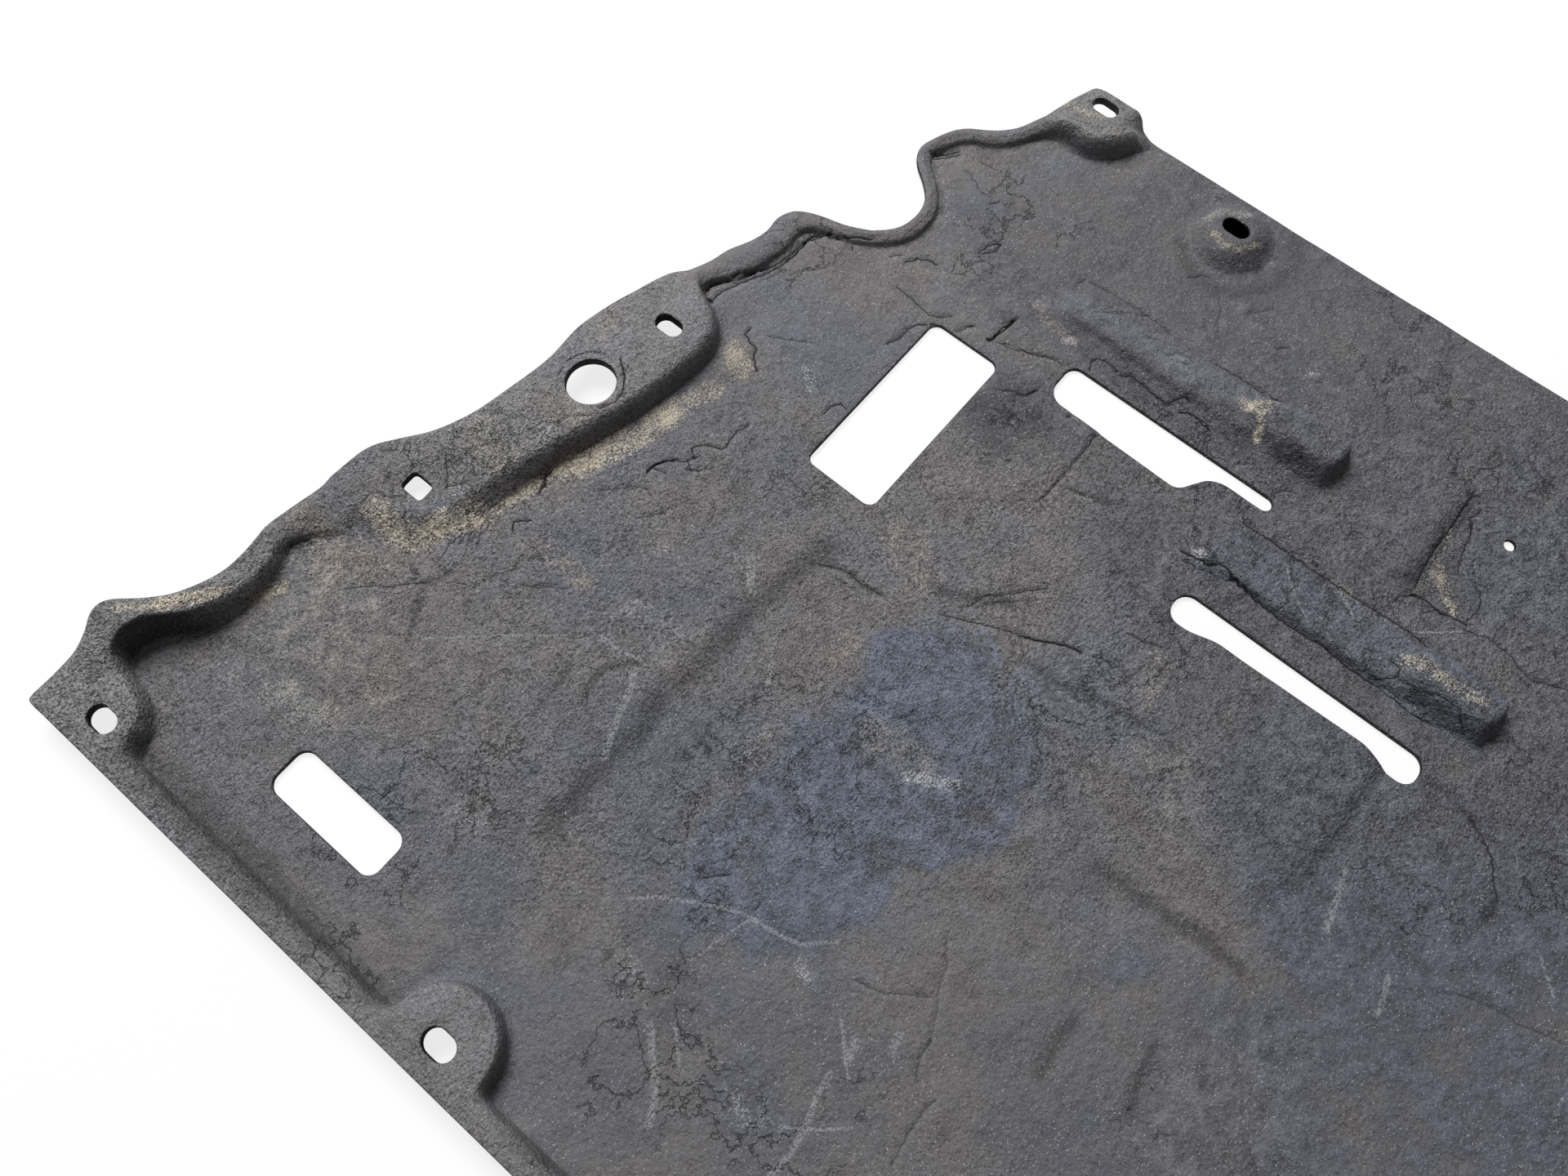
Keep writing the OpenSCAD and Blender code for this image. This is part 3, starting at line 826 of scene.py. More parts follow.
@dataclass(frozen=True)
class StainAndShade:
    """A broad patch of another tone, also used for bands of painted shade: its colour, strength, soft border
    and outline.
    """

    colour: Colour
    strength: float
    feather: float
    points: tuple[tuple[float, float], ...]
    level: float = SHEET

    def cover(self, xy: Array) -> Array:
        """Strength times a soft step of 1/2 + the signed distance from the outline over the border.

        Args:
            xy: Points, one a row.

        Returns:
            The amount at each.
        """
        loop = grounded(np.array(self.points, float), self.level)
        away = nearest(xy, loop, np.roll(loop, -1, 0))[0]
        signed = np.where(inside(xy, [loop]), away, -away)
        return self.strength * soft_step(0.5 + signed / self.feather)


# The sheet's mesh


class Skin(Enum):
    """Which face of the sheet a surface belongs to."""

    TOP = "top"
    BOTTOM = "bottom"


@dataclass
class MeshParts:
    """Points and triangles gathered from the parts of one closed skin."""

    points: list[Array] = field(default_factory=list)
    faces: list[Array] = field(default_factory=list)
    count: int = 0

    def add(self, xyz: Array) -> Array:
        """Append points.

        Args:
            xyz: Points, one a row.

        Returns:
            Their numbers.
        """
        self.points.append(xyz)
        self.count += len(xyz)
        return np.arange(self.count - len(xyz), self.count)

    def band(self, near: Array, far: Array) -> None:
        """Join two closed rings of as many points by two triangles a side.

        Args:
            near: Numbers of the ring on the right of the way round.
            far: Numbers of the ring on its left.
        """
        near2, far2 = np.roll(near, -1), np.roll(far, -1)
        self.faces.append(np.stack([near, near2, far2], 1))
        self.faces.append(np.stack([near, far2, far], 1))

    def mesh(self, name: str) -> bpy.types.Mesh:
        """Make the mesh, in metres, with smooth faces.

        Args:
            name: The mesh's name.

        Returns:
            The mesh.
        """
        xyz, tri = np.vstack(self.points) * MM, np.vstack(self.faces).astype(np.int32)
        made = bpy.data.meshes.new(name)
        made.vertices.add(len(xyz))
        made.vertices.foreach_set("co", xyz.astype(np.float32).ravel())
        made.loops.add(tri.size)
        made.loops.foreach_set("vertex_index", tri.ravel())
        made.polygons.add(len(tri))
        made.polygons.foreach_set("loop_start", np.arange(0, tri.size, 3, dtype=np.int32))
        made.polygons.foreach_set("use_smooth", np.ones(len(tri), bool))
        made.update(calc_edges=True)
        made.validate()
        return made


def hexagonal(low: Array, high: Array, spacing: float, seed: int) -> Array:
    """Set points on a lattice of equal triangles, each moved by up to 0.12 of their spacing at random.

    Args:
        low: The box's least x and y.
        high: Its greatest x and y.
        spacing: Distance between neighbours.
        seed: Seed of the moves.

    Returns:
        The points.
    """
    columns = np.arange(low[0], high[0], spacing)
    rows = np.arange(low[1], high[1], spacing * math.sqrt(0.75))
    x, y = np.meshgrid(columns, rows)
    x = x + (np.arange(len(rows)) % 2)[:, None] * spacing / 2
    grid = np.stack([x.ravel(), y.ravel()], 1)
    return grid + np.random.default_rng(seed).uniform(-0.12, 0.12, grid.shape) * spacing


@dataclass
class Patch:
    """A region of the plan between closed loops, filled with triangles of points at chosen spacings."""

    loops: list[Array]
    spacing: float
    fine: float
    seed: int
    line_gap: float = 0.9
    loop_gap: float = 1.2
    longest_piece: float = 9.0

    def fill(self, lines: Sequence[Array], steep: Any = None) -> tuple[Array, Array, int]:
        """Spread points over the region and join them by a constrained Delaunay triangulation.

        Args:
            lines: Open paths whose points and sides the triangles keep.
            steep: Function that tells which points need the fine spacing, or None.

        Returns:
            The points, the loops' points first, the triangles, and the count of the loops' points.
        """
        starts = np.vstack(self.loops)
        ends = np.vstack([np.roll(loop, -1, 0) for loop in self.loops])
        low, high = starts.min(0), starts.max(0)
        grid = hexagonal(low, high, self.spacing, self.seed)
        if steep is not None:
            dense = hexagonal(low, high, self.fine, self.seed + 1)
            grid = np.vstack([grid[~steep(grid)], dense[steep(dense)]])
        grid = grid[inside(grid, self.loops)]
        kept = [line for line in (self._clear(path, starts, ends) for path in lines) if len(line) > 1]
        if kept:
            held = np.vstack(kept)
            grid = grid[nearest(grid, held, held)[0] > self.line_gap]
        near = self.fine if steep is not None else self.spacing
        away, piece, _ = nearest(grid, starts, ends)
        side = lengths(ends - starts)[piece]
        grid = grid[away > np.clip(0.6 * side, 0.35 * near, 0.6 * self.spacing)]
        return self._join(grid, kept)

    def _clear(self, path: Array, starts: Array, ends: Array) -> Array:
        """The part of a path that lies inside the region and keeps clear of its loops."""
        ok = inside(path, self.loops) & (nearest(path, starts, ends)[0] > self.loop_gap)
        return path[ok]

    def _join(self, grid: Array, kept: Sequence[Array]) -> tuple[Array, Array, int]:
        """Triangulate the loops' points, the lines' points and the grid, and keep what lies inside.

        Args:
            grid: Points spread over the region.
            kept: Lines whose sides the triangles keep.

        Returns:
            The points, the triangles and the count of the loops' points, as fill gives them.
        """
        xy = np.vstack([*self.loops, *kept, grid])
        edges, first = [], 0
        for loop in self.loops:
            number = np.arange(first, first + len(loop))
            edges.append(np.stack([number, np.roll(number, -1)], 1))
            first += len(loop)
        border = first
        for line in kept:
            number = np.arange(first, first + len(line))
            near = lengths(np.diff(line, axis=0)) < self.longest_piece
            edges.append(np.stack([number[:-1], number[1:]], 1)[near])
            first += len(line)
        corners = [Vector(place) for place in xy.tolist()]
        result = delaunay_2d_cdt(corners, np.vstack(edges).tolist(), [], 0, 1e-5, True)
        made = np.array([tuple(place) for place in result[0]])
        tri = np.array(result[2])
        source = np.array([ids[0] if ids else -1 for ids in result[3]])
        final = np.where(source >= 0, source, len(xy) + np.arange(len(made)))
        new = final >= len(xy)
        points = np.vstack([xy, made[new]])
        final[new] = len(xy) + np.arange(new.sum())
        centre = made[tri].mean(1)
        tri = final[tri][inside(centre, self.loops)]
        a, b, c = points[tri[:, 0]], points[tri[:, 1]], points[tri[:, 2]]
        turn = (b - a)[:, 0] * (c - a)[:, 1] - (b - a)[:, 1] * (c - a)[:, 0]
        tri[turn < 0] = tri[turn < 0][:, ::-1]
        return points, tri[np.abs(turn) > 1e-9], border


crack, crease, scratch = (partial(Mark, kind) for kind in (MarkKind.CRACK, MarkKind.CREASE, MarkKind.SCRATCH))


# The cracks, creases and scratches of this cover; a crack's wander is seeded by its number here
MARKS: tuple[Mark, ...] = (
    crack(0.8, 0.35, ((94, 102), (93, 84), (92, 63), (92, 44.5), (92.5, 29))),
    crack(0.6, 0.3, ((112, 100), (115.5, 85.5), (121, 79.5))),
    crack(0.6, 0.4, ((214.5, 163.5), (221.5, 149), (234, 141.5), (237.5, 131.5), (242.5, 126.5))),
    crack(0.9, 1.2, ((261, -83.5), (245, -84), (229, -84), (212, -84), (196, -85.5), (187, -87.5))),
    crack(0.7, 0.6, ((202.5, 101.5), (201.5, 81.5), (198.5, 67), (199, 48), (199, 32.5))),
    crack(0.7, 0.5, ((172.5, -83), (179, -101.5), (186, -119), (204, -117.5), (220, -106))),
    crack(1.3, 2.4, ((77, 344), (85.5, 343), (93, 338.5), (101, 334.5), (110.5, 329), (121.5, 324),
        (135, 321.5), (145.5, 321), (153, 320), (158, 315))),
    crack(1.1, 2, ((77, 337), (84, 336.5), (94.5, 333), (110, 325.5), (123.5, 320.5), (136, 319.5),
        (148.5, 320), (156.5, 315))),
    crack(1.1, 2, ((76.5, 344.5), (76.5, 339), (76.5, 335.5))),
    crack(0.9, 1.4, ((160, 312.5), (159.5, 308), (164, 302), (168.5, 294.5), (173, 287.5))),
    crack(0.8, 1.2, ((169.5, 302.5), (164, 296)), 8),
    crack(0.7, 1, ((179.5, 295), (174, 289)), 8),
    crack(1.4, 2.2, ((249.5, 301.5), (256, 295.5), (264.5, 289.5))),
    crack(0.9, 1.2, ((248.5, 298.5), (255.5, 292), (262, 288))),
    crack(1, 1.4, ((176, 263), (182.5, 258.5), (186, 252), (186, 247.5))),
    crack(0.8, 1, ((172, 273.5), (178, 268.5))),
    crack(0.8, 1, ((157, 256), (156.5, 243.5), (154, 230), (156.5, 223), (162, 218))),
    crack(0.9, 1.2, ((123, 235.5), (130, 232), (137, 232.5), (144, 230), (151.5, 221.5))),
    crack(0.8, 1, ((156.5, 208.5), (164.5, 204.5))),
    crack(1.2, 1.4, ((163, 190), (174.5, 188), (185, 187))),
    crack(0.8, 1, ((177.5, 191.5), (183, 187.5))),
    crack(0.7, 0.9, ((165, 186.5), (167.5, 176), (172.5, 164.5), (176.5, 156), (177.5, 145.5))),
    crack(1, 1.3, ((76.5, 305.5), (71.5, 305), (69.5, 300), (68.5, 294), (63, 291), (57, 283.5))),
    crack(0.7, 0.8, ((79.5, 294), (85.5, 283), (93, 270.5))),
    crack(0.9, 1.1, ((61, 234), (66.5, 234.5), (71.5, 230.5), (70.5, 225.5), (67.5, 222.5))),
    crack(0.9, 1.1, ((-11.5, 272.5), (-7, 279), (0, 273), (4, 263.5), (8, 264), (18, 265.5), (25, 263))),
    crack(0.9, 1.1, ((-35.5, 287.5), (-31, 287.5), (-23, 284.5), (-17, 279.5))),
    crack(0.8, 1, ((-19.5, 272), (-15, 265), (-8.5, 260.5))),
    crack(0.8, 0.8, ((-59, 359), (-50, 357), (-45.5, 350), (-38.5, 348.5), (-28.5, 338.5)), 19),
    crack(0.8, 0.8, ((-59.5, 356), (-55, 353), (-49.5, 353)), 19),
    crack(0.9, 1.1, ((209.5, 233), (218.5, 232), (224.5, 226), (217.5, 225.5), (210.5, 231))),
    crack(0.8, 1, ((139, 166), (144, 158.5), (146, 150.5), (154, 147.5))),
    crack(0.7, 0.4, ((135.5, 161), (129.5, 150.5), (130.5, 139))),
    crack(0.7, 0.7, ((107.5, 323), (115.5, 319), (121, 318.5))),
    crack(0.7, 0.7, ((122.5, 311), (129.5, 306.5), (142, 297.5))),
    crack(1.4, 1.6, ((-71.5, 330.5), (-76.5, 330.5), (-79, 327), (-83.5, 327))),
    crack(1, 1.2, ((-111, 322), (-107.5, 324.5), (-104.5, 323), (-100.5, 318))),
    crack(1, 0.9, ((-138, 352), (-131.5, 347.5), (-123.5, 340.5))),
    crack(1, 0.9, ((-103, 383), (-109, 376.5), (-117, 369)), 13),
    crack(0.9, 0.8, ((-115.5, 369), (-112.5, 366.5), (-109, 363)), 13),
    crack(1, 0.8, ((-196, 366.5), (-190, 361), (-185, 355.5))),
    crack(1.1, 0.8, ((-183.5, 352.5), (-178, 347), (-172, 342.5), (-166, 336))),
    crack(0.8, 0.7, ((-134, 296.5), (-129.5, 289.5))),
    crack(0.8, 0.7, ((-127.5, 286), (-123, 281), (-119, 275.5))),
    crease(4, 0.35, ((-196, 318), (-186, 324.5), (-174, 332.5), (-165.5, 334.5), (-153.5, 330.5))),
    crack(0.6, 0.4, ((-212, 343), (-203.5, 332.5), (-194, 320))),
    scratch(1.1, 0.1, ((-189.5, 312.5), (-175.5, 297.5), (-163, 284), (-148.5, 267), (-140.5, 256.5))),
    crack(0.7, 0.6, ((-139.5, 255), (-134, 247.5), (-125, 240.5))),
    crease(11, 1.1, ((-5.5, 176.5), (-25, 181), (-59, 186), (-90.5, 186.5), (-106, 185), (-129.5, 191),
        (-155, 185.5), (-177.5, 189), (-201, 189), (-220.5, 187))),
    crease(4, 0.5, ((-159.5, 220.5), (-155, 223.5), (-147, 225), (-138, 224.5), (-124, 213.5))),
    scratch(1.6, 0.1, ((-64.5, 166), (-73.5, 160.5), (-82, 155.5), (-88, 151.5))),
    scratch(3, 0.1, ((-37.5, 206.5), (-51.5, 195))),
    scratch(2.2, 0.1, ((-126, 239.5), (-126.5, 226), (-122.5, 215))),
    scratch(2, 0.1, ((-113.5, 242), (-99.5, 241), (-95.5, 229.5))),
    scratch(2.6, 0.1, ((-128, 212.5), (-139.5, 205.5), (-149.5, 202.5), (-161, 198), (-174.5, 191.5))),
    crack(0.9, 1, ((-35, 288.5), (-28.5, 287.5), (-22.5, 284), (-16.5, 276), (-8, 271.5))),
    crack(0.8, 0.9, ((-31.5, 287.5), (-29, 279))),
    crack(0.8, 0.9, ((-14.5, 274.5), (-18.5, 268.5))),
    crack(0.7, 0.7, ((-104.5, 302.5), (-100, 303.5), (-95, 294.5))),
    crack(0.7, 0.7, ((-36, 239), (-29, 241), (-23.5, 248.5))),
    crack(1.6, 0.9, ((-70, 200.5), (-69, 198.5))),
    crack(0.8, 0.8, ((-64, 302.5), (-55, 295), (-46.5, 287), (-43.5, 280), (-45, 276.5))),
    crack(0.8, 0.8, ((-61.5, 273), (-55.5, 268.5), (-48.5, 262.5))),
    crack(0.7, 0.7, ((-267.5, 265), (-261, 264.5))),
    crack(0.7, 0.7, ((-240.5, 225), (-232.5, 230.5))),
    crease(3, 0.3, ((-147.5, 242), (-159.5, 238), (-170, 238.5), (-183, 236))),
    crease(3, 0.7, ((-20.5, 182), (-12, 169.5), (-9, 159.5), (-10, 146.5), (-7, 134.5))),
    crack(0.9, 0.8, ((-15.5, 175), (-9, 162), (-9.5, 149), (-8, 138.5))),
    crack(0.7, 0.6, ((-16.5, 162), (-15.5, 150.5))),
    crack(1, 0.9, ((4, 105), (10.5, 90.5), (17.5, 77.5), (23.5, 61))),
    crack(1.6, 1.3, ((23.5, 61), (30.5, 47.5), (35.5, 37.5), (36, 33))),
    crack(1, 0.8, ((38.5, 26), (41.5, 16.5))),
    crack(1, 0.9, ((17.5, 96), (28.5, 92.5), (38, 83.5), (47, 75.5), (54, 69.5))),
    crack(0.7, 0.6, ((19, 92.5), (29, 86), (38, 76))),
    crack(1.2, 0.8, ((61.5, 19.5), (63, 9.5), (67, 0))),
    crack(0.7, 0.6, ((29.5, 6.5), (38.5, 3.5), (52.5, 1.5))),
    crack(0.8, 0.7, ((-30, 16.5), (-33.5, 8.5), (-44.5, 9))),
    crack(0.7, 0.6, ((-21, -6), (-13, -3.5), (-6, -6.5))),
    crack(0.7, 0.6, ((7.5, -28.5), (3, -34.5), (-5.5, -35.5))),
    crack(0.8, 0.6, ((-189, 109.5), (-178, 99.5))),
    crease(4, 0.5, ((12, 55), (13, 42), (13.5, 29), (21, 14), (21, -4), (23.5, -15.5))),
    crease(5, 0.5, ((15, 113.5), (25.5, 93), (34, 80))),
    crack(0.6, 0.7, ((167, 182.5), (170, 173.5), (172, 163), (178, 151.5), (179.5, 140.5))),
    crack(1.1, 1.1, ((163, 192), (165.5, 188.5), (175.5, 190), (179, 187.5), (185.5, 186.5))),
    crack(0.8, 0.8, ((161, 208), (165.5, 203))),
    crack(0.9, 1.1, ((186.5, 132.5), (191, 134.5), (195.5, 132), (196.5, 125), (195, 120))),
    crack(1.4, 1.6, ((195, 116), (199, 110.5), (198.5, 102.5), (196.5, 93.5), (196, 83.5), (203.5, 81),
        (207, 78.5), (206, 74.5)), 4.5),
    crack(1, 1.2, ((195, 75), (198.5, 70), (198.5, 62.5), (196.5, 54.5))),
    crack(0.7, 0.7, ((187, 117.5), (186.5, 110), (180.5, 108.5))),
    crack(0.7, 0.7, ((184, 108), (187, 103))),
    crack(0.7, 0.7, ((186, 98), (183, 93), (179, 93))),
    crack(0.8, 0.7, ((220.5, 153.5), (228, 142.5), (235, 135.5)), 7),
    crack(1.1, 0.8, ((235, 132.5), (239, 130.5), (243.5, 126.5)), 7),
    crack(0.9, 0.7, ((219, 145.5), (220.5, 137.5)), 7),
    crack(0.7, 0.7, ((213.5, 82.5), (215.5, 77)), 7),
    crack(0.7, 0.7, ((222.5, 101.5), (227, 99.5), (230, 94), (229.5, 87), (225.5, 89), (223.5, 94),
        (222, 100)), 7),
    crack(0.6, 0.6, ((225.5, 119), (227.5, 113.5)), 7),
    crack(0.9, 0.9, ((278.5, 123.5), (282, 120), (286, 117), (286.5, 113))),
    crack(0.7, 0.8, ((278.5, 80.5), (284.5, 77.5), (291, 72))),
    crack(0.8, 0.8, ((269, 55.5), (274, 49.5))),
    crack(0.6, 0.6, ((262, 26.5), (267, 21))),
    crack(0.6, 0.5, ((281.5, 103.5), (270.5, 95), (258, 89), (252.5, 83))),
    crack(0.9, 0.9, ((184.5, 3), (189.5, 2.5), (193, -2.5))),
    crack(0.6, 0.5, ((220, 35.5), (223, 29), (229.5, 20), (232.5, 14.5)), 14),
    crack(0.8, 0.8, ((231, 173), (235, 171.5))),
    crack(0.8, 0.8, ((142.5, 156), (147, 151), (154, 148.5))),
    crack(0.7, 0.5, ((142.5, 156), (138.5, 152.5), (130, 151), (127, 160))),
    crack(1.2, 1, ((150.5, 123.5), (154.5, 120.5))),
    crease(3, 0.4, ((113.5, 97.5), (114, 90), (117, 80.5), (121.5, 72.5))),
    scratch(1.2, 0.1, ((111.5, 95), (113, 87.5), (116, 82))),
    crack(0.7, 0.8, ((236, 168.5), (238, 155.5), (239, 142), (239, 126.5), (237.5, 109.5)), 3.4),
    crack(0.9, 1, ((236, 102.5), (236, 85), (238.5, 61.5), (238.5, 44.5)), 3.4),
    crack(1, 1.2, ((239.5, 39.5), (239, 20.5), (240.5, 8.5), (240.5, -4.5)), 3.4),
    crack(1, 0.7, ((151, 103.5), (134.5, 103), (113.5, 103), (94.5, 104)), 2.6),
    crack(0.8, 0.6, ((83.5, 118), (89, 111.5), (93.5, 104.5)), 2.6),
    crack(0.9, 1.1, ((159, 7), (159.5, -13), (159.5, -32.5), (160, -55), (160.5, -75.5), (161.5, -99)), 3.4),
    crack(0.9, 1.1, ((161.5, -99), (160, -118.5), (160, -136.5), (161, -151)), 3.4),
    crack(1.3, 1.4, ((122, 24.5), (124.5, 8), (127.5, 3), (125.5, -9), (123.5, -23), (122.5, -39.5)), 3.4),
    crack(1.2, 1.4, ((122.5, -39.5), (123, -55), (124, -68.5), (122.5, -81), (122.5, -98)), 3.4),
    crack(0.8, 0.9, ((117.5, 20), (120.5, 5.5), (123, -3.5), (125.5, -9.5)), 3.4),
    crack(0.8, 1, ((122.5, -98), (122, -115), (121, -126), (125.5, -138)), 3.4),
    crack(0.9, 1, ((126, -95.5), (128, -101.5), (134.5, -107), (140, -105.5), (140, -100)), 7),
    crack(0.8, 0.8, ((134.5, -108), (133.5, -118.5), (136, -129), (136, -140.5), (131.5, -148.5)), 9),
    crack(0.8, 0.8, ((123, -124.5), (124, -135.5), (128, -145.5)), 6),
    crack(0.7, 0.7, ((126, -104.5), (126, -116.5), (128.5, -124.5)), 6),
    scratch(1, 0.1, ((151.5, -26), (141.5, -36.5), (135, -46.5), (131, -52.5)), 7),
    scratch(1.2, 0.1, ((158.5, -54.5), (154.5, -62.5), (149.5, -70)), 7),
    crack(1.4, 1.4, ((182, -88), (184, -96), (182.5, -105.5), (185, -112.5), (186.5, -120.5)), 3.4),
    crack(0.9, 1, ((242.5, -92.5), (234.5, -96), (223, -97.5), (211, -101.5))),
    crack(0.9, 0.9, ((188.5, -120), (200, -121.5), (207.5, -117.5), (209.5, -113.5))),
    crack(0.7, 0.8, ((182.5, -90.5), (176.5, -83.5), (169, -82.5), (164, -89), (162, -94))),
    scratch(1, 0.1, ((162.5, -100), (172, -111.5), (180.5, -120.5))),
    crack(0.8, 0.9, ((182, -121), (186, -132.5), (185.5, -146), (181.5, -156), (180, -164), (187, -179.5))),
    crack(0.9, 0.9, ((257.5, -140.5), (255.5, -145))),
    crack(1.3, 1.2, ((258.5, -84.5), (260, -86.5))),
    crack(1, 1, ((253, -92), (244.5, -90), (237, -95))),
    crack(0.8, 0.9, ((269, -79), (277, -79), (280.5, -86))),
    crack(0.7, 0.8, ((280, -82), (287.5, -79.5), (292.5, -83), (287, -87), (280.5, -84))),
    crease(5, 0.7, ((97, -145.5), (95, -162), (90, -180))),
    crack(1.1, 0.9, ((91, -175.5), (87, -184.5), (79.5, -194.5), (68.5, -202), (63, -207))),
    crease(4, 0.5, ((63, -207), (44.5, -205.5), (31.5, -202))),
    scratch(2.6, 0.1, ((26, -140), (14, -143), (-4.5, -147.5))),
    scratch(1.2, 0.1, ((52, -236.5), (44.5, -244.5), (39, -250.5))),
    scratch(2.2, 0.1, ((-6.5, -184), (-15.5, -187), (-24.5, -188.5))),
    crease(6, 0.5, ((-52, -86.5), (-51, -103.5), (-49.5, -124.5))),
    crack(0.7, 0.6, ((98.5, -205.5), (97.5, -214.5), (99.5, -218.5))),
    crack(0.7, 0.6, ((4.5, -208), (10.5, -218), (14.5, -232.5), (16, -246), (22.5, -267.5))),
    crack(0.8, 0.6, ((-118.5, -175), (-124.5, -183))),
    scratch(1.2, 0.1, ((-221, 131.5), (-211, 121.5), (-201.5, 106), (-193.5, 92), (-187, 76))),
    scratch(1, 0.1, ((-218.5, 85.5), (-204, 82.5), (-189, 77.5))),
    scratch(1.4, 0.1, ((-188, 75.5), (-185.5, 62), (-182, 49.5), (-170.5, 38.5))),
    scratch(2.2, 0.1, ((-220.5, 0), (-230.5, -1), (-245.5, -6), (-260, -8), (-273, -7))),
    scratch(2.6, 0.1, ((-259, 82), (-268, 73), (-275, 64.5), (-283, 57.5), (-294, 51.5))),
    scratch(1.2, 0.1, ((-252.5, 71.5), (-264.5, 57.5))),
    scratch(3.6, 0.1, ((-200, 0), (-208, -2.5))),
    scratch(3, 0.1, ((-183.5, -14.5), (-191.5, -16))),
    scratch(1.2, 0.1, ((-197, 11.5), (-215, -6.5))),
    scratch(1.2, 0.1, ((-253, 2.5), (-243, -11.5), (-231.5, -23.5))),
    crack(0.9, 0.7, ((-177.5, 17.5), (-175, 7), (-167.5, -4.5), (-160, -15.5))),
    crack(0.8, 0.6, ((-132.5, -4), (-143, -12), (-156, -17), (-167.5, -24), (-178, -28.5))),
    crack(1.8, 0.6, ((-176, -28), (-185.5, -28), (-195, -33.5))),
    crack(1.4, 0.6, ((-196, -46), (-206.5, -44.5), (-219.5, -45.5), (-231.5, -47.5))),
    crack(0.8, 0.6, ((-189.5, 110), (-178, 100))),
    crack(0.8, 0.6, ((-180.5, 111), (-169, 102.5))),
    crack(1.6, 0.8, ((-184, 79), (-179.5, 79))),
    crease(8, 0.6, ((-54.5, -41.5), (-53, -62), (-51.5, -85), (-48.5, -106.5))),
    crease(6, 0.5, ((-155.5, -77.5), (-144.5, -76.5), (-123.5, -75.5))),
    crease(5, 0.5, ((-142, -121), (-123.5, -115.5), (-106.5, -113))),
    crack(0.6, 0.25, ((-336, 447.5), (-324, 431.5), (-310, 413)), 19),
    crack(1.1, 1.1, ((10.5, 351.5), (6, 344), (-0.5, 337.5), (-7, 334), (-15, 334), (-21.5, 338)), 19),
    crack(0.8, 0.35, ((-20, 371.5), (-13, 374), (-4, 372.5), (3, 367)), 19),
    crack(0.9, 0.5, ((-139.5, 395.5), (-146, 390), (-148.5, 381), (-145.5, 372), (-139.5, 364),
        (-131.5, 361), (-124, 363.5)), 11),
    crack(0.8, 0.35, ((-139.5, 395.5), (-131, 401), (-122.5, 401), (-116, 397)), 12),
    crack(0.6, 0.35, ((-301, 399), (-292, 395.5), (-283, 394))),
)


SAND = (0.400, 0.350, 0.270)
PALE = (0.250, 0.245, 0.220)
ROSE = (0.215, 0.180, 0.165)
TAN = (0.215, 0.188, 0.160)
CHALK = (0.350, 0.355, 0.370)
WARM = (0.160, 0.154, 0.149)
BLUE = (0.099, 0.112, 0.145)
DEEP = (0.086, 0.093, 0.116)
DARK = (0.054, 0.054, 0.059)
DUSK = (0.090, 0.090, 0.101)
CHARCOAL = (0.078, 0.074, 0.075)
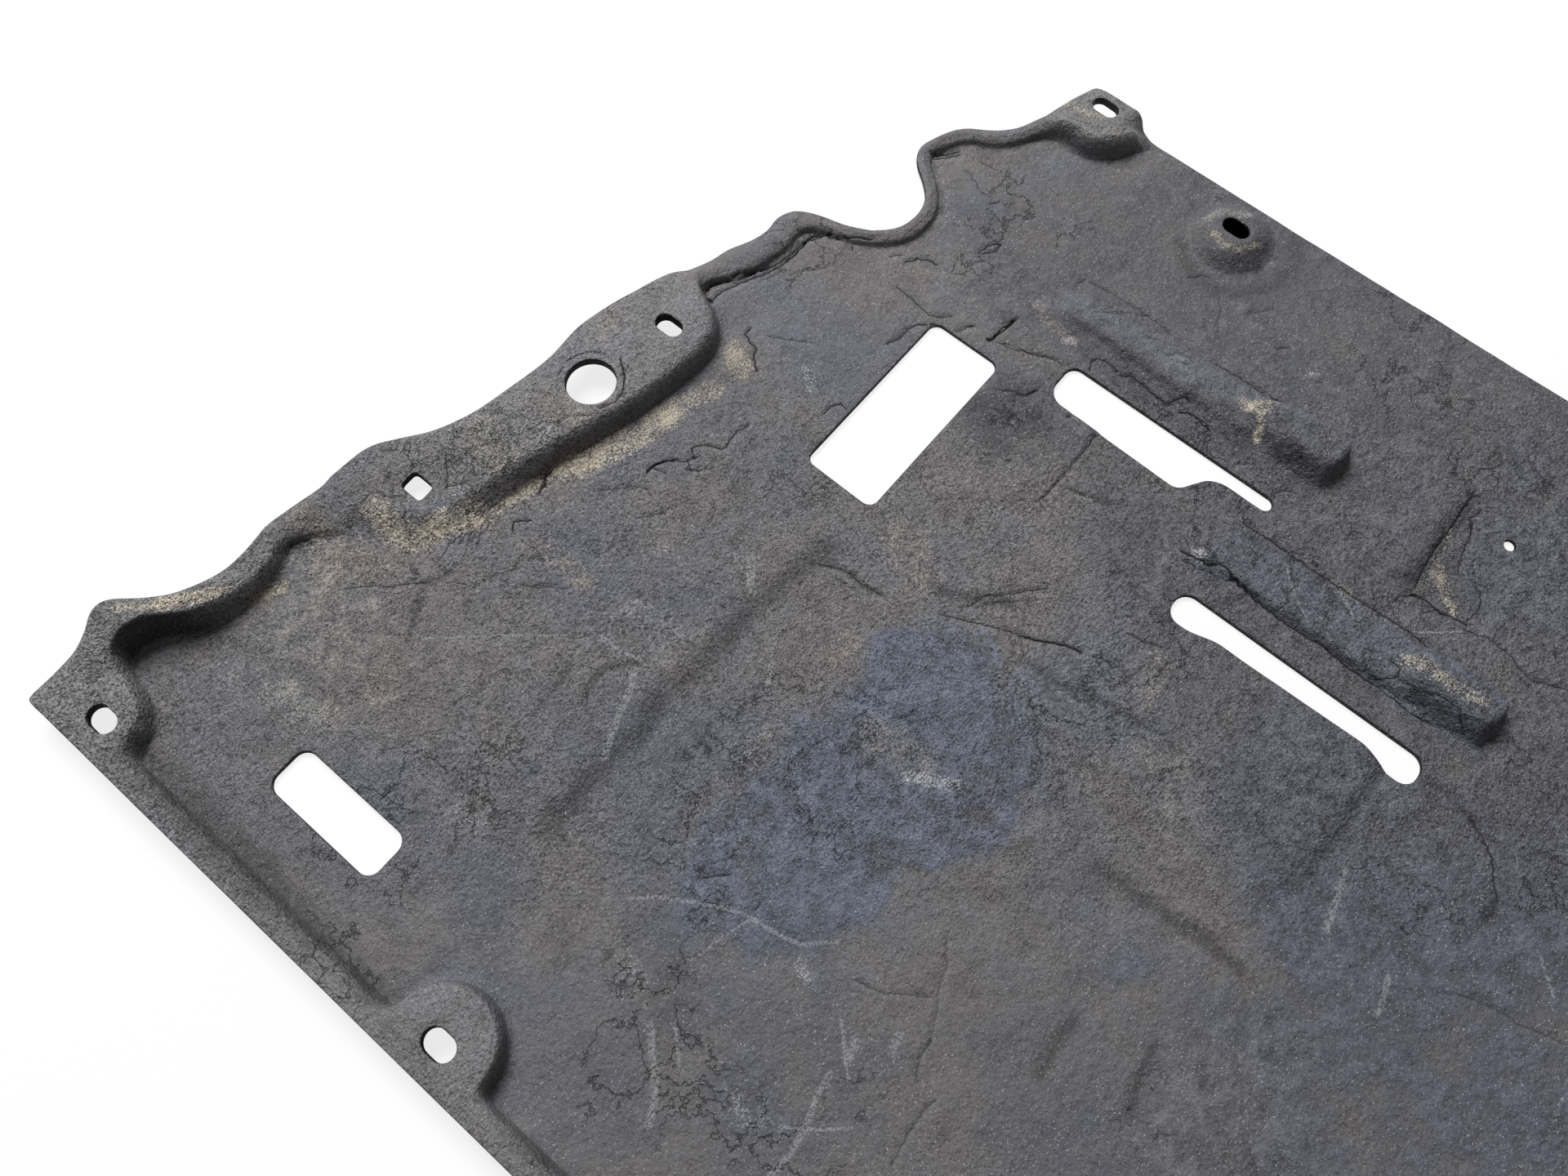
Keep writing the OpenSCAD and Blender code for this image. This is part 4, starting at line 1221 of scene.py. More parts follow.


# Sand and pale specks on this cover, a crescent of painted shade at the dome's foot, and a darker line down
# the left rim's wall
DEPOSITS_AND_SHADE: tuple[DepositAndShade, ...] = (
    DepositAndShade(11.6, SAND, 0.7, ((-153.5, 385.5), (-155, 372.5), (-152, 359.5), (-141, 353))),
    DepositAndShade(11.6, SAND, 0.9, ((-136.5, 353.5), (-123, 342.5), (-105, 341.5), (-84, 335))),
    DepositAndShade(11.6, SAND, 0.55, ((-84, 335), (-60, 325), (-44.5, 315.5))),
    DepositAndShade(17.4, TAN, 0.45, ((-181, 415), (-185, 393.5), (-180, 374.5))),
    DepositAndShade(13, SAND, 0.66, ((-60.5, 324.5), (-40.5, 314), (-19.5, 306.5), (1, 303.5))),
    DepositAndShade(11.6, SAND, 0.5, ((1, 303.5), (17, 299), (30, 294))),
    DepositAndShade(11.6, SAND, 0.75, ((59, 303.5), (51, 291))),
    DepositAndShade(17.4, TAN, 0.4, ((18, 374), (33, 371)), 19),
    DepositAndShade(18.8, TAN, 0.4, ((-38.5, 368), (-34.5, 338.5), (-16.5, 328)), 19),
    DepositAndShade(5.8, SAND, 0.2, ((240, 283), (220.5, 270), (220.5, 252))),
    DepositAndShade(5.8, SAND, 0.22, ((256.5, 284.5), (264, 271.5))),
    DepositAndShade(8.7, ROSE, 0.5, ((174, 253.5), (175, 249))),
    DepositAndShade(8.7, ROSE, 0.5, ((84.5, 352), (88.5, 351)), 19),
    DepositAndShade(7.2, TAN, 0.5, ((200.5, 181.5), (197, 167), (194.5, 152.5))),
    DepositAndShade(4.3, CHALK, 0.9, ((193, 153.5), (194.5, 151))),
    DepositAndShade(7.2, SAND, 0.9, ((231.5, 48), (232, 42.5), (232.5, 37.5)), 16),
    DepositAndShade(3.6, SAND, 0.7, ((225, 38), (212.5, 30.5)), 12),
    DepositAndShade(4.3, CHALK, 0.5, ((267, 32), (271, 27))),
    DepositAndShade(7.2, TAN, 0.6, ((188.5, -90), (205.5, -92.5))),
    DepositAndShade(5.8, SAND, 0.6, ((202.5, -94), (194, -104), (189, -111))),
    DepositAndShade(3.6, SAND, 0.5, ((230, -85.5), (210.5, -88)), 5),
    DepositAndShade(10.2, TAN, 0.35, ((157, -50), (159, -62.5))),
    DepositAndShade(7.2, SAND, 0.6, ((150, -106.5), (149.5, -116), (149.5, -124.5)), 18),
    DepositAndShade(7.2, SAND, 0.6, ((149.5, -132.5), (151, -141.5), (152.5, -149)), 18),
    DepositAndShade(21.8, TAN, 0.6, ((24.5, 147), (16, 128.5))),
    DepositAndShade(13, ROSE, 0.55, ((-38.5, 133), (-52.5, 131.5))),
    DepositAndShade(14.5, TAN, 0.4, ((-124.5, 128.5), (-106, 129.5))),
    DepositAndShade(17.4, TAN, 0.4, ((57, -4.5), (38, -12))),
    DepositAndShade(17.4, TAN, 0.35, ((-73.5, 91), (-67.5, 63.5))),
    DepositAndShade(5.8, CHALK, 0.45, ((-80, 62.5), (-66, 37.5))),
    DepositAndShade(26.1, TAN, 0.35, ((-195.5, 380), (-174, 364))),
    DepositAndShade(17.4, ROSE, 0.35, ((-210.5, 317), (-226.5, 308.5))),
    DepositAndShade(11.6, TAN, 0.55, ((-111, 308.5), (-108, 282.5), (-109, 268))),
    DepositAndShade(11.6, ROSE, 0.35, ((-62.5, 251.5), (-61.5, 247))),
    DepositAndShade(15.9, PALE, 0.5, ((-263, 349.5), (-261, 335), (-254.5, 321))),
    DepositAndShade(17.4, CHALK, 0.16, ((-106, 245), (-101, 227), (-103.5, 202))),
    DepositAndShade(10.2, CHALK, 0.16, ((-126, 219.5), (-144, 207.5), (-161.5, 199))),
    DepositAndShade(14.5, CHALK, 0.18, ((-248.5, 228.5), (-243.5, 214))),
    DepositAndShade(14.5, CHALK, 0.15, ((-241, 285), (-238.5, 264.5))),
    DepositAndShade(7.2, CHALK, 0.4, ((-46, 201), (-46.5, 199.5))),
    DepositAndShade(5.8, SAND, 1, ((-269, 440), (-254, 430), (-234.5, 418.5), (-217.5, 410.5)), 29),
    DepositAndShade(4.3, SAND, 0.7, ((-287.5, 456), (-271.5, 440.5), (-254, 430), (-228, 415.5)), 30),
    DepositAndShade(3.5, SAND, 0.8, ((317, 129.5), (313.5, 120), (318, 109.5), (329, 103.5)), 15),
    DepositAndShade(5.8, PALE, 0.7, ((321, 250), (328, 221.5), (349.5, 208)), 12),
    DepositAndShade(5.8, PALE, 0.6, ((325, 141), (334.5, 134), (342.5, 120.5)), 15),
    DepositAndShade(4.3, SAND, 0.6, ((344, 262.5), (344.5, 247), (347.5, 235)), 22),
    # Painted shade: a dark crescent round the dome's foot
    DepositAndShade(8, DARK, 1, ((347, 86.5), (326.5, 78.5), (305, 81.5), (288.5, 94), (281, 110.5), (285, 128),
        (298, 142.5)), 5),
    DepositAndShade(20.3, PALE, 0.55, ((-81.5, 377.5), (-85, 355)), 13),
    DepositAndShade(7.2, CHALK, 0.5, ((-115, 404.5), (-113.5, 401.5)), 13),
    DepositAndShade(5.8, CHALK, 0.6, ((-115.5, 365.5), (-113, 361.5)), 12),
    DepositAndShade(8.7, CHALK, 0.35, ((76.5, 260.5), (69.5, 251))),
    DepositAndShade(5.8, CHALK, 0.5, ((128.5, 19), (126.5, 13.5)), 6),
    DepositAndShade(8.7, CHALK, 0.3, ((-243.5, 116), (-245.5, 103.5))),
    DepositAndShade(7.2, CHALK, 0.3, ((-188, 47), (-194, 37))),
    DepositAndShade(13, CHALK, 0.25, ((-255.5, 30), (-261.5, 12.5))),
    DepositAndShade(11.6, PALE, 0.35, ((-348, 430), (-356.5, 398.5), (-359.5, 361.5)), 19),
    DepositAndShade(11.6, CHALK, 0.3, ((-55.5, 360), (-53.5, 350.5)), 19),
    # A darker line down the left rim's wall
    DepositAndShade(5.8, DARK, 0.8, ((-330.5, 378), (-333.5, 337), (-334, 276), (-334, 201)), 8),
)


# The front ramp's lower step, as seen
RAMP_TOP = ((225, 174), (226, 145.5), (233, 65.5), (239.5, -2.5), (233.5, -16.5), (213.5, -9.5), (225.5, 31),
    (213, 80), (215.5, 128.5), (210.5, 164.5))

# Broad patches of another tone on this cover, with bands of painted shade along the ramps' walls and over the
# rear middle
STAINS_AND_SHADE: tuple[StainAndShade, ...] = (
    StainAndShade(DUSK, 0.45, 60, ((-300.5, 140), (-184, 38), (-48, -105), (-132, -196.5), (-343.5, 55))),
    # Painted shade: the light's falloff over the rear middle of the cover
    StainAndShade(DEEP, 0.78, 60, ((-9.5, -119.5), (135.5, -226.5), (-33.5, -313.5), (-146.5, -179), (-81, -126.5))),
    StainAndShade(DUSK, 0.75, 60, ((218, 270.5), (366.5, 173), (398, -92), (105, -242.5), (2.5, -82), (93, 69.5))),
    # Darker over the left rim and its wall
    StainAndShade(CHARCOAL, 0.8, 16, ((-332.5, 394), (-320, 382.5), (-326.5, 212), (-323.5, 185.5), (-337, 183),
        (-342.5, 131.5), (-333.5, 64.5), (-342, 75), (-345.5, 221), (-349.5, 393.5)), 14),
    StainAndShade(BLUE, 1, 28.8, ((-23, 124), (2.5, 103.5), (10.5, 72), (-3, 48.5), (-18, 30.5), (-32, 10.5),
        (-53, 9.5), (-69, 6.5), (-103, 22.5), (-121.5, 39), (-144.5, 41), (-182, 47.5), (-211.5, 103.5),
        (-183, 115), (-164.5, 131), (-140, 127), (-119.5, 123), (-98.5, 126.5), (-72.5, 107.5), (-57, 116))),
    StainAndShade(BLUE, 0.9, 32, ((-195.5, 119.5), (-160.5, 129), (-54, 12), (-84, -0.5), (-119.5, 38.5),
        (-145.5, 33), (-171.5, 42.5), (-189, 54), (-201.5, 66.5), (-202.5, 94.5))),
    StainAndShade(WARM, 0.5, 22.4, ((-73, 96), (-66.5, 82.5), (-64, 57), (-74.5, 58), (-88, 79.5), (-85, 93))),
    StainAndShade(DEEP, 0.75, 38.4, ((70.5, -64), (91.5, -85.5), (83.5, -126.5), (56, -125), (12.5, -120.5),
        (-26.5, -109.5), (-8, -82), (2.5, -61.5), (31.5, -58.5))),
    StainAndShade(DEEP, 0.85, 32, ((53, -127), (82.5, -140.5), (95.5, -168.5), (90.5, -193), (94.5, -224.5),
        (49.5, -250.5), (27.5, -235.5), (4, -207.5), (-5, -183), (-21, -188.5), (-18.5, -170), (-28, -141.5),
        (-22.5, -114))),
    StainAndShade(BLUE, 0.8, 6, ((117.5, 17), (152.5, 7), (156.5, -17.5), (156.5, -67.5), (158, -102.5),
        (157, -155.5), (125, -163.5), (123, -97.5), (124.5, -55.5), (125, -10.5)), 7),
    StainAndShade(BLUE, 0.45, 44.8, ((294, -88.5), (285.5, -127), (222, -160), (197.5, -116), (247.5, -98))),
    StainAndShade(DARK, 0.35, 28.8, ((124.5, 181.5), (150, 173), (158.5, 145), (112, 111.5), (63, 169.5),
        (100, 175.5))),
    StainAndShade(DARK, 0.3, 22.4, ((-226, 116), (-210, 106.5), (-223.5, 83.5), (-251.5, 64.5), (-265, 80.5),
        (-251, 98.5))),
    StainAndShade(BLUE, 0.5, 16, ((-109, -55.5), (-93, -66), (-75.5, -77.5), (-73, -95), (-89.5, -87.5),
        (-113, -68))),
    StainAndShade(BLUE, 0.5, 19.2, ((-196, 27.5), (-172.5, 34.5), (-171.5, 42.5), (-178.5, 42), (-194.5, 31.5))),
    StainAndShade(BLUE, 0.5, 28.8, ((-255, 40.5), (-237, 36), (-236.5, 19), (-252, 1), (-265.5, 12), (-266, 26))),
    StainAndShade(BLUE, 0.45, 38.4, ((-133.5, 398.5), (-108, 382.5), (-123, 323.5), (-145, 323), (-150.5, 339.5))),
    StainAndShade(WARM, 0.6, 44.8, ((-208.5, 424.5), (-178.5, 373), (-186, 318.5), (-226, 287.5), (-252.5, 307),
        (-262.5, 363.5))),
    StainAndShade(DARK, 0.3, 25.6, ((-156.5, 330.5), (-140.5, 311.5), (-152.5, 294), (-173, 300), (-182, 320))),
    StainAndShade(DARK, 0.28, 19.2, ((124.5, 180), (140.5, 164), (145.5, 144), (140.5, 124.5), (108, 132),
        (95.5, 158))),
    StainAndShade(DARK, 0.25, 32, ((-159, 228.5), (-135.5, 228), (-123.5, 213.5), (-133.5, 195), (-172.5, 183.5),
        (-197.5, 184.5), (-189, 202.5))),
    StainAndShade(BLUE, 0.25, 44.8, ((109, 308), (129.5, 287.5), (114.5, 275), (80.5, 300), (79.5, 316))),
    StainAndShade(BLUE, 0.2, 38.4, ((253, 293), (299, 247), (262, 220.5), (223.5, 254))),
    StainAndShade(WARM, 0.4, 51.2, ((196.5, 239), (207, 195), (175.5, 179.5), (157, 216.5))),
    StainAndShade(WARM, 0.5, 38.4, ((14.5, -13.5), (39.5, -37), (5.5, -71), (-22.5, -103), (-43.5, -89.5),
        (-50.5, -58))),
    StainAndShade(WARM, 0.4, 44.8, ((-101, -115), (-64.5, -164), (-112, -198), (-155, -147))),
    StainAndShade(CHALK, 0.13, 9.6, RAMP_TOP, 7),
    StainAndShade(BLUE, 0.4, 9.6, RAMP_TOP, 7),
    # Painted shade: dark bands on the front ramp's left wall, the rear wall of the low swell behind it, and
    # the rear ramp's left wall
    StainAndShade(DARK, 0.75, 8, ((208.5, 170.5), (195, 156), (188, 119), (186.5, 81), (190.5, 51), (195, 23),
        (198.5, -15.5), (215.5, -11.5), (230.5, -8), (229.5, 27), (219, 61), (213, 89), (212, 135.5),
        (213.5, 163)), 6),
    StainAndShade(DARK, 0.8, 5.12, ((263, -79.5), (258.5, -87), (222.5, -87.5), (189.5, -89.5), (178.5, -83),
        (195.5, -77), (230, -77)), 6),
    StainAndShade(DARK, 0.5, 7.04, ((118.5, 22.5), (119, -4.5), (120.5, -54), (119.5, -95.5), (126, -113),
        (121, -154.5), (125.5, -163), (139.5, -160), (134, -109.5), (130.5, -89.5), (128.5, -49),
        (131, 16.5)), 6),
)


@dataclass
class CoverSheet:
    """The whole cover: one moulded sheet, its floor, walls, flange, holes, forms and marks."""

    name: str = "cover_sheet"
    wall: float = SHEET
    skin_shift: float = 2.24
    floor_spacing: float = 4.3
    floor_fine: float = 1.7
    flange_spacing: float = 3.2
    flange_fine: float = 3.0
    under_spacing: float = 13.0
    under_fine: float = 3.2
    under_flange_spacing: float = 9.0
    under_back: float = 0.5
    wall_steps: int = 11
    edge_radius: float = 1.1
    low_wall: float = 20.0
    lip_round: float = 0.45
    lip_width: float = 1.0
    lip_slope: float = 0.3
    lip_back: float = 0.9
    box_gap: float = 0.01
    edge: EdgeLine = field(default_factory=EdgeLine)
    dome: Dome = field(default_factory=Dome)
    marks: tuple[Mark, ...] = MARKS
    deposits_and_shade: tuple[DepositAndShade, ...] = DEPOSITS_AND_SHADE
    stains_and_shade: tuple[StainAndShade, ...] = STAINS_AND_SHADE
    forms: tuple[RaisedForm, ...] = (
        RaisedForm(235.0, -76.0, 37.0, 76.0, 16.0, 15.0, 6.0, 7.0, 28.0),
        RaisedForm(234.0, -29.0, 35.0, 144.0, 4.0, 10.0, 3.0, 3.0, 8.0),
        RaisedForm(157.5, -219.0, 37.0, 64.0, 15.0, 14.0, 6.0, 7.0, 11.0),
        RaisedForm(156.5, -169.0, 35.0, 134.0, 4.0, 3.0, 3.0, 3.0, 8.0),
        RaisedForm(262.0, -149.0, 84.0, 51.0, 4.0, 9.0, 9.0, 18.0, 9.0, 33.0),
        RaisedForm(96.0, -190.0, 131.0, 113.0, 4.0, 60.0, 9.0, 17.0, 9.0, 95.0),
    )
    panel: tuple[float, float, float, float] = (88.5, -27.5, 164.5, 48.5)
    panel_radius: float = 7.0
    field_box: tuple[float, float, float, float] = (182.0, -187.0, 252.0, -149.0)
    sink_depth: float = 1.3
    sink_run: float = 2.0
    seat_depth: float = 0.6
    openings: tuple[RoundedOpening, ...] = (
        RoundedOpening(box_rows(28.8, 118.0, 150.8, 166.0, 6.0)),
        RoundedOpening(box_rows(-299.8, 182.0, -272.3, 259.5, 7.5)),
        RoundedOpening(
            (
                (179.6, -56.0, 4.32),
                (179.6, 85.0, 7.0),
                (153.2, 85.0, 11.0),
                (151.2, -8.0, 9.0),
                (170.6, -20.0, 18.0),
                (170.6, -56.0, 4.32),
            )
        ),
        RoundedOpening(
            (
                (101.4, -199.0, 8.5),
                (101.4, -46.0, 8.5),
                (82.4, -46.0, 8.5),
                (82.4, -61.0, 28.0),
                (87.0, -77.0, 28.0),
                (87.0, -168.0, 28.0),
                (82.4, -184.0, 28.0),
                (82.4, -199.0, 8.5),
            )
        ),
    )
    drain: FixingHole = FixingHole(241.8, -171.0, 6.4, 6.4)
    dome_hole: FixingHole = FixingHole(Dome.x, Dome.y, 11.0, 17.5)
    flange_holes: tuple[FixingHole, ...] = (
        FixingHole(-330.5, 94.5, 13.0, 18.6, lip=3.0),
        FixingHole(-330.5, 344.0, 12.4, 18.0, lip=3.0),
        FixingHole(-129.3, 320.1, 11.5, 15.5, 14.0, 1.1, lip=2.0),
        FixingHole(-18.7, 288.5, 29.6, 29.6, 19.5, 0.0, 28, lip=3.0),
        FixingHole(38.5, 279.0, 11.0, 17.5, lip=4.0),
        FixingHole(337.2, 175.5, 11.0, 17.5, lip=3.0),
    )
    relief: tuple[Relief, ...] = (
        Relief(3, 150.0, 0.45),
        Relief(5, 60.0, 0.30),
        Relief(7, 24.0, 0.24),
        Relief(9, 12.0, 0.13),
    )
    dents: tuple[Dent, ...] = (
        Dent(276.0, -18.0, 30.0, 9.0, 0.0, 0.9),
        Dent(200.0, -161.0, 13.0, 13.0, 0.0, -0.6),
    )

    def build(self) -> bpy.types.Object:
        """Make the closed sheet as one mesh.

        Returns:
            Its object.
        """
        parts = MeshParts()
        self._lay_out()
        floor, floor_rims = self._floor(parts, Skin.TOP)
        flange, flange_rims = self._flange(parts, Skin.TOP)
        self._walls(parts, Skin.TOP, floor, flange)
        start = sum(map(len, parts.points))
        under_floor, under_floor_rims = self._floor(parts, Skin.BOTTOM)
        under_flange, under_flange_rims = self._flange(parts, Skin.BOTTOM)
        self._walls(parts, Skin.BOTTOM, under_floor, under_flange)
        self.under = slice(start, sum(map(len, parts.points)))
        lips = [0.0] * (len(floor_rims) + 1) + [hole.lip for hole in self.flange_holes]
        for top, low, lip in zip(floor_rims + flange_rims, under_floor_rims + under_flange_rims, lips):
            self._rim(parts, top, low, lip)
        xyz = np.vstack(parts.points)
        low, high = (np.array(corner) / MM for corner in CAD_BOX)
        inner = np.clip(xyz, low + self.box_gap, high - self.box_gap)
        parts.points = [inner]
        made = parts.mesh(self.name)
        self._describe(made, inner)
        sheet = bpy.data.objects.new(self.name, made)
        bpy.context.scene.collection.objects.link(sheet)
        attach(sheet, "root")
        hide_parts("under_cover")
        LOG.info("%s: %d points, %d triangles", self.name, len(inner), len(made.polygons))
        return sheet

    def _lay_out(self) -> None:
        """Work out the stations' lines and what each carries: height, shoulder and edge round.

        roll is 1 where the flange is a narrow bead with a rolled top.
        """
        self.rows, self.out = self.edge.stations()
        self.rise = np.maximum(0.0, self.rows[:, 4])
        run = self.rows[:, 5:6]
        self.foot = self.rows[:, 2:4]
        self.crest = self.foot + run * self.out
        self.crest_low = self.foot + (run + self.skin_shift) * self.out
        self.outline = self.rows[:, 0:2]
        width = lengths(self.outline - self.crest)
        narrow = soft_step((22.0 - width) / 6.0)
        self.roll = soft_step((self.rise - 3.0) / 2.0) * soft_step((12.5 - self.rise) / 3.0) * narrow
        raised = soft_step(self.rise / 4.0)
        self.shoulder = (0.06 * self.rise + 0.8 * self.roll) * raised
        self.shoulder_reach = np.minimum(9.0, 0.6 * width)
        self.edge_drop = 0.5 + raised * (0.5 + 2.2 * self.roll)
        self.edge_reach = np.minimum(4.0 + 6.0 * self.roll, (0.5 + 0.4 * self.roll) * width)
        self.mark_lines = [mark.path(40 + k) for k, mark in enumerate(self.marks)]
        self.cut_points: list[Array] = []
        self.wall_points: list[tuple[Array, Array, Array]] = []

    def _relief(self, xy: Array) -> Array:
        """Waviness, dents and the marks' grooves.

        A crack's groove is its depth times 1 - distance / half width, a crease's its depth times a bell.

        Args:
            xy: Points, one a row.

        Returns:
            The height that they add at each.
        """
        height = sum(wave.at(xy) for wave in self.relief) + sum(dent.at(xy) for dent in self.dents)
        for mark, line in zip(self.marks, self.mark_lines):
            near, share = mark.share(xy, line)
            height[near] -= mark.depth * (bell(1.0 - share) if mark.kind is MarkKind.CREASE else share)
        return height

    def _floor_height(self, xy: Array, skin: Skin) -> Array:
        """Height of the floor's top or bottom face: the highest form over it, less the shallow sinks.

        Args:
            xy: Points, one a row.
            skin: Which face.

        Returns:
            The height at each point.
        """
        inset = 0.0 if skin is Skin.TOP else self.skin_shift
        shape = np.max([part.height(xy, inset) for part in (*self.forms, self.dome)], axis=0)
        if skin is Skin.BOTTOM:
            return shape
        x0, y0, x1, y1 = self.panel
        x, y = xy[:, 0], xy[:, 1]
        side, ends = np.minimum(x - x0, x1 - x), np.minimum(y - y0, y1 - y)
        panel = soft_step(corner_least(side, ends, self.panel_radius) / self.sink_run)
        x0, y0, x1, y1 = self.field_box
        slope = np.clip((x1 - x) / (x1 - x0 - self.sink_run), 0, 1)
        ends = np.minimum(y - y0, y1 - y)
        hollow = soft_step((x - x0) / self.sink_run) * soft_step(ends / self.sink_run) * slope
        return self.wall + shape - self.sink_depth * np.maximum(panel, hollow)

    def _flange_height(self, xy: Array) -> Array:
        """Height of the flange's top face.

        The rise at a point is that of its nearest crest and edge places, weighed by the other's
        distance. The shoulder and the edge each take off drop * (1 - distance / reach)^2.

        Args:
            xy: Points, one a row.

        Returns:
            The height at each.
        """

        def along(line: Array, *values: Array) -> tuple[Array, list[Array]]:
            """Find the nearest place on a closed line.

            Args:
                line: The line's stations.
                values: What each station carries.

            Returns:
                The distance, and each value there by linear blending.
            """
            away, piece, share = nearest(xy, line, np.roll(line, -1, 0))
            after = (piece + 1) % len(line)
            return away, [v[piece] * (1 - share) + v[after] * share for v in values]

        to_crest, (low_rise, drop, reach) = along(self.crest, self.rise, self.shoulder, self.shoulder_reach)
        to_edge, (edge_rise, edge_drop, edge_reach) = along(
            self.outline, self.rise, self.edge_drop, self.edge_reach
        )
        total = np.maximum(1e-6, to_crest + to_edge)
        rise = (low_rise * to_edge + edge_rise * to_crest) / total
        height = self.wall + rise
        height -= drop * np.clip(1 - to_crest / np.maximum(0.5, reach), 0, 1) ** 2
        height -= edge_drop * np.clip(1 - to_edge / np.maximum(0.5, edge_reach), 0, 1) ** 2
        for hole in self.flange_holes:
            if hole.seat > 0:
                away = lengths(xy - [hole.x, hole.y])
                height -= self.seat_depth * soft_step((hole.seat + 0.5 - away) / 1.0)
        return height

    def _inner(self, loop: Array, distance: float) -> Array:
        """A loop moved into the sheet, to the right of its way round."""
        return loop - left_of(loop) * distance

    def _fill(
        self, parts: MeshParts, patch: Patch, lines: Sequence[Array], steep: Any, height: Any, skin: Skin
    ) -> list[Array]:
        """Fill a patch and lift its points to their heights.

        Args:
            parts: The mesh so far.
            patch: The region.
            lines: Paths that the triangles keep.
            steep: Function that tells which points need the fine spacing, or None.
            height: Function from points to heights.
            skin: Which face.

        Returns:
            The numbers of each loop's points.
        """
        xy, tri, border = patch.fill(lines, steep)
        number = parts.add(np.column_stack([xy, height(xy)]))
        parts.faces.append(number[tri if skin is Skin.TOP else tri[:, ::-1]])
        cuts = np.cumsum([len(loop) for loop in patch.loops])[:-1]
        return list(np.split(number[:border], cuts))

    def _steep(self, xy: Array) -> Array:
        """Find where the floor turns: its height differs by more than 0.12 mm within 2 mm.

        Args:
            xy: Points, one a row.

        Returns:
            True for those that need the fine spacing.
        """
        base = self._floor_height(xy, Skin.TOP)
        shifts = ([2.0, 0.0], [-2.0, 0.0], [0.0, 2.0], [0.0, -2.0])
        change = [np.abs(self._floor_height(xy + shift, Skin.TOP) - base) for shift in shifts]
        return np.max(change, axis=0) > 0.12

    def _floor(self, parts: MeshParts, skin: Skin) -> tuple[Array, list[tuple[Array, Array]]]:
        """Add the floor's top or bottom face.

        Args:
            parts: The mesh so far.
            skin: Which face.

        Returns:
            The numbers of the foot's points, and the numbers and plan of each hole's points.
        """
        top = skin is Skin.TOP
        cuts = [opening.loop() for opening in self.openings] + [self.drain.loop(), self.dome_hole.loop()]
        back = self.edge_radius if top else self.under_back
        rims = [self._inner(cut, back) for cut in cuts]
        foot = self.foot if top else self.foot + self.skin_shift * self.out
        lines: list[Array] = []
        if top:
            for mark, line in zip(self.marks, self.mark_lines):
                lines += mark.borders(line)

        def height(xy: Array) -> Array:
            """Height of this face, with the marks on the top one."""
            return self._floor_height(xy, skin) + (self._relief(xy) if top else 0.0)

        spacing = self.floor_spacing if top else self.under_spacing
        fine = self.floor_fine if top else self.under_fine
        patch = Patch([foot, *rims], spacing, fine, 11 if top else 21)
        numbers = self._fill(parts, patch, lines, self._steep, height, skin)
        return numbers[0], list(zip(numbers[1:], cuts))

    def _flange(self, parts: MeshParts, skin: Skin) -> tuple[Array, list[tuple[Array, Array]]]:
        """Add the flange's top or bottom face.

        Args:
            parts: The mesh so far.
            skin: Which face.

        Returns:
            The numbers of the crest's points, and the numbers and plan of the edge's and holes' points.
        """
        top = skin is Skin.TOP
        cuts = [self.outline] + [hole.loop() for hole in self.flange_holes]
        backs = [self.under_back + self.lip_back * (hole.lip > 0) for hole in self.flange_holes]
        backs = [self.edge_radius] * len(cuts) if top else [self.under_back, *backs]
        rims = [self._inner(cut, back) for cut, back in zip(cuts, backs)]
        crest = self.crest if top else self.crest_low
        lines: list[Array] = []
        if top:
            turn = np.linspace(0, 2 * np.pi, 73)
            ring = np.stack([np.cos(turn), np.sin(turn)], 1)
            for hole in self.flange_holes:
                if hole.seat > 0:
                    centre = np.array([hole.x, hole.y])
                    lines += [centre + ring[:-1] * (hole.seat + gap) for gap in (-0.5, 0.0, 0.5)]
            for mark, line in zip(self.marks, self.mark_lines):
                lines += mark.borders(line)

        def height(xy: Array) -> Array:
            """Height of this face, a wall's thickness lower on the underside."""
            full = self._flange_height(xy)
            return full + self._relief(xy) if top else full - self.wall

        spacing = self.flange_spacing if top else self.under_flange_spacing
        patch = Patch([crest, *rims], spacing, self.flange_fine, 31 if top else 41)
        numbers = self._fill(parts, patch, lines, None, height, skin)
        return numbers[0], list(zip(numbers[1:], cuts))

    def _walls(self, parts: MeshParts, skin: Skin, foot: Array, crest: Array) -> None:
        """Join the foot to the crest by rings up the wall.

        At a share u the ring stands u times the wall's plan width out from the foot. Its height is
        rise * ((1 - a) share + s (u^3 - u^2)), where a is the shoulder's share and s its slope. The share
        is 2u - u^2 for a high wall, that to a power below 1 for a rounder low one, and ease(u) for a gentle
        one. The highest walls get painted shade below their top, and only low walls stay dirty.

        Args:
            parts: The mesh so far.
            skin: Which face.
            foot: Numbers of the foot's points.
            crest: Numbers of the crest's points.
        """
        steps = self.wall_steps if skin is Skin.TOP else 6
        rise = np.maximum(self.rise, 1e-6)
        a = self.shoulder / rise
        s = 2 * self.shoulder / np.maximum(1.0, self.shoulder_reach) * self.rows[:, 5] / rise
        steep = np.maximum(np.clip(self.rise / self.rows[:, 5] / 2, 0, 1), self.roll)
        power = 1 - 0.22 * soft_step((self.low_wall - self.rise) / 4.0) - 0.25 * self.roll
        rings = [foot]
        for u in np.arange(1, steps) / steps:
            share = steep * (2 * u - u * u) ** power + (1 - steep) * float(ease(u))
            if skin is Skin.TOP:
                xy = self.foot + u * self.rows[:, 5:6] * self.out
                lift = self.rise * ((1 - a) * share + s * (u**3 - u**2))
                z = self.wall + lift + self._relief(xy)
            else:
                xy = self.foot + (u * self.rows[:, 5:6] + self.skin_shift) * self.out
                z = self.rise * (1 - a) * share
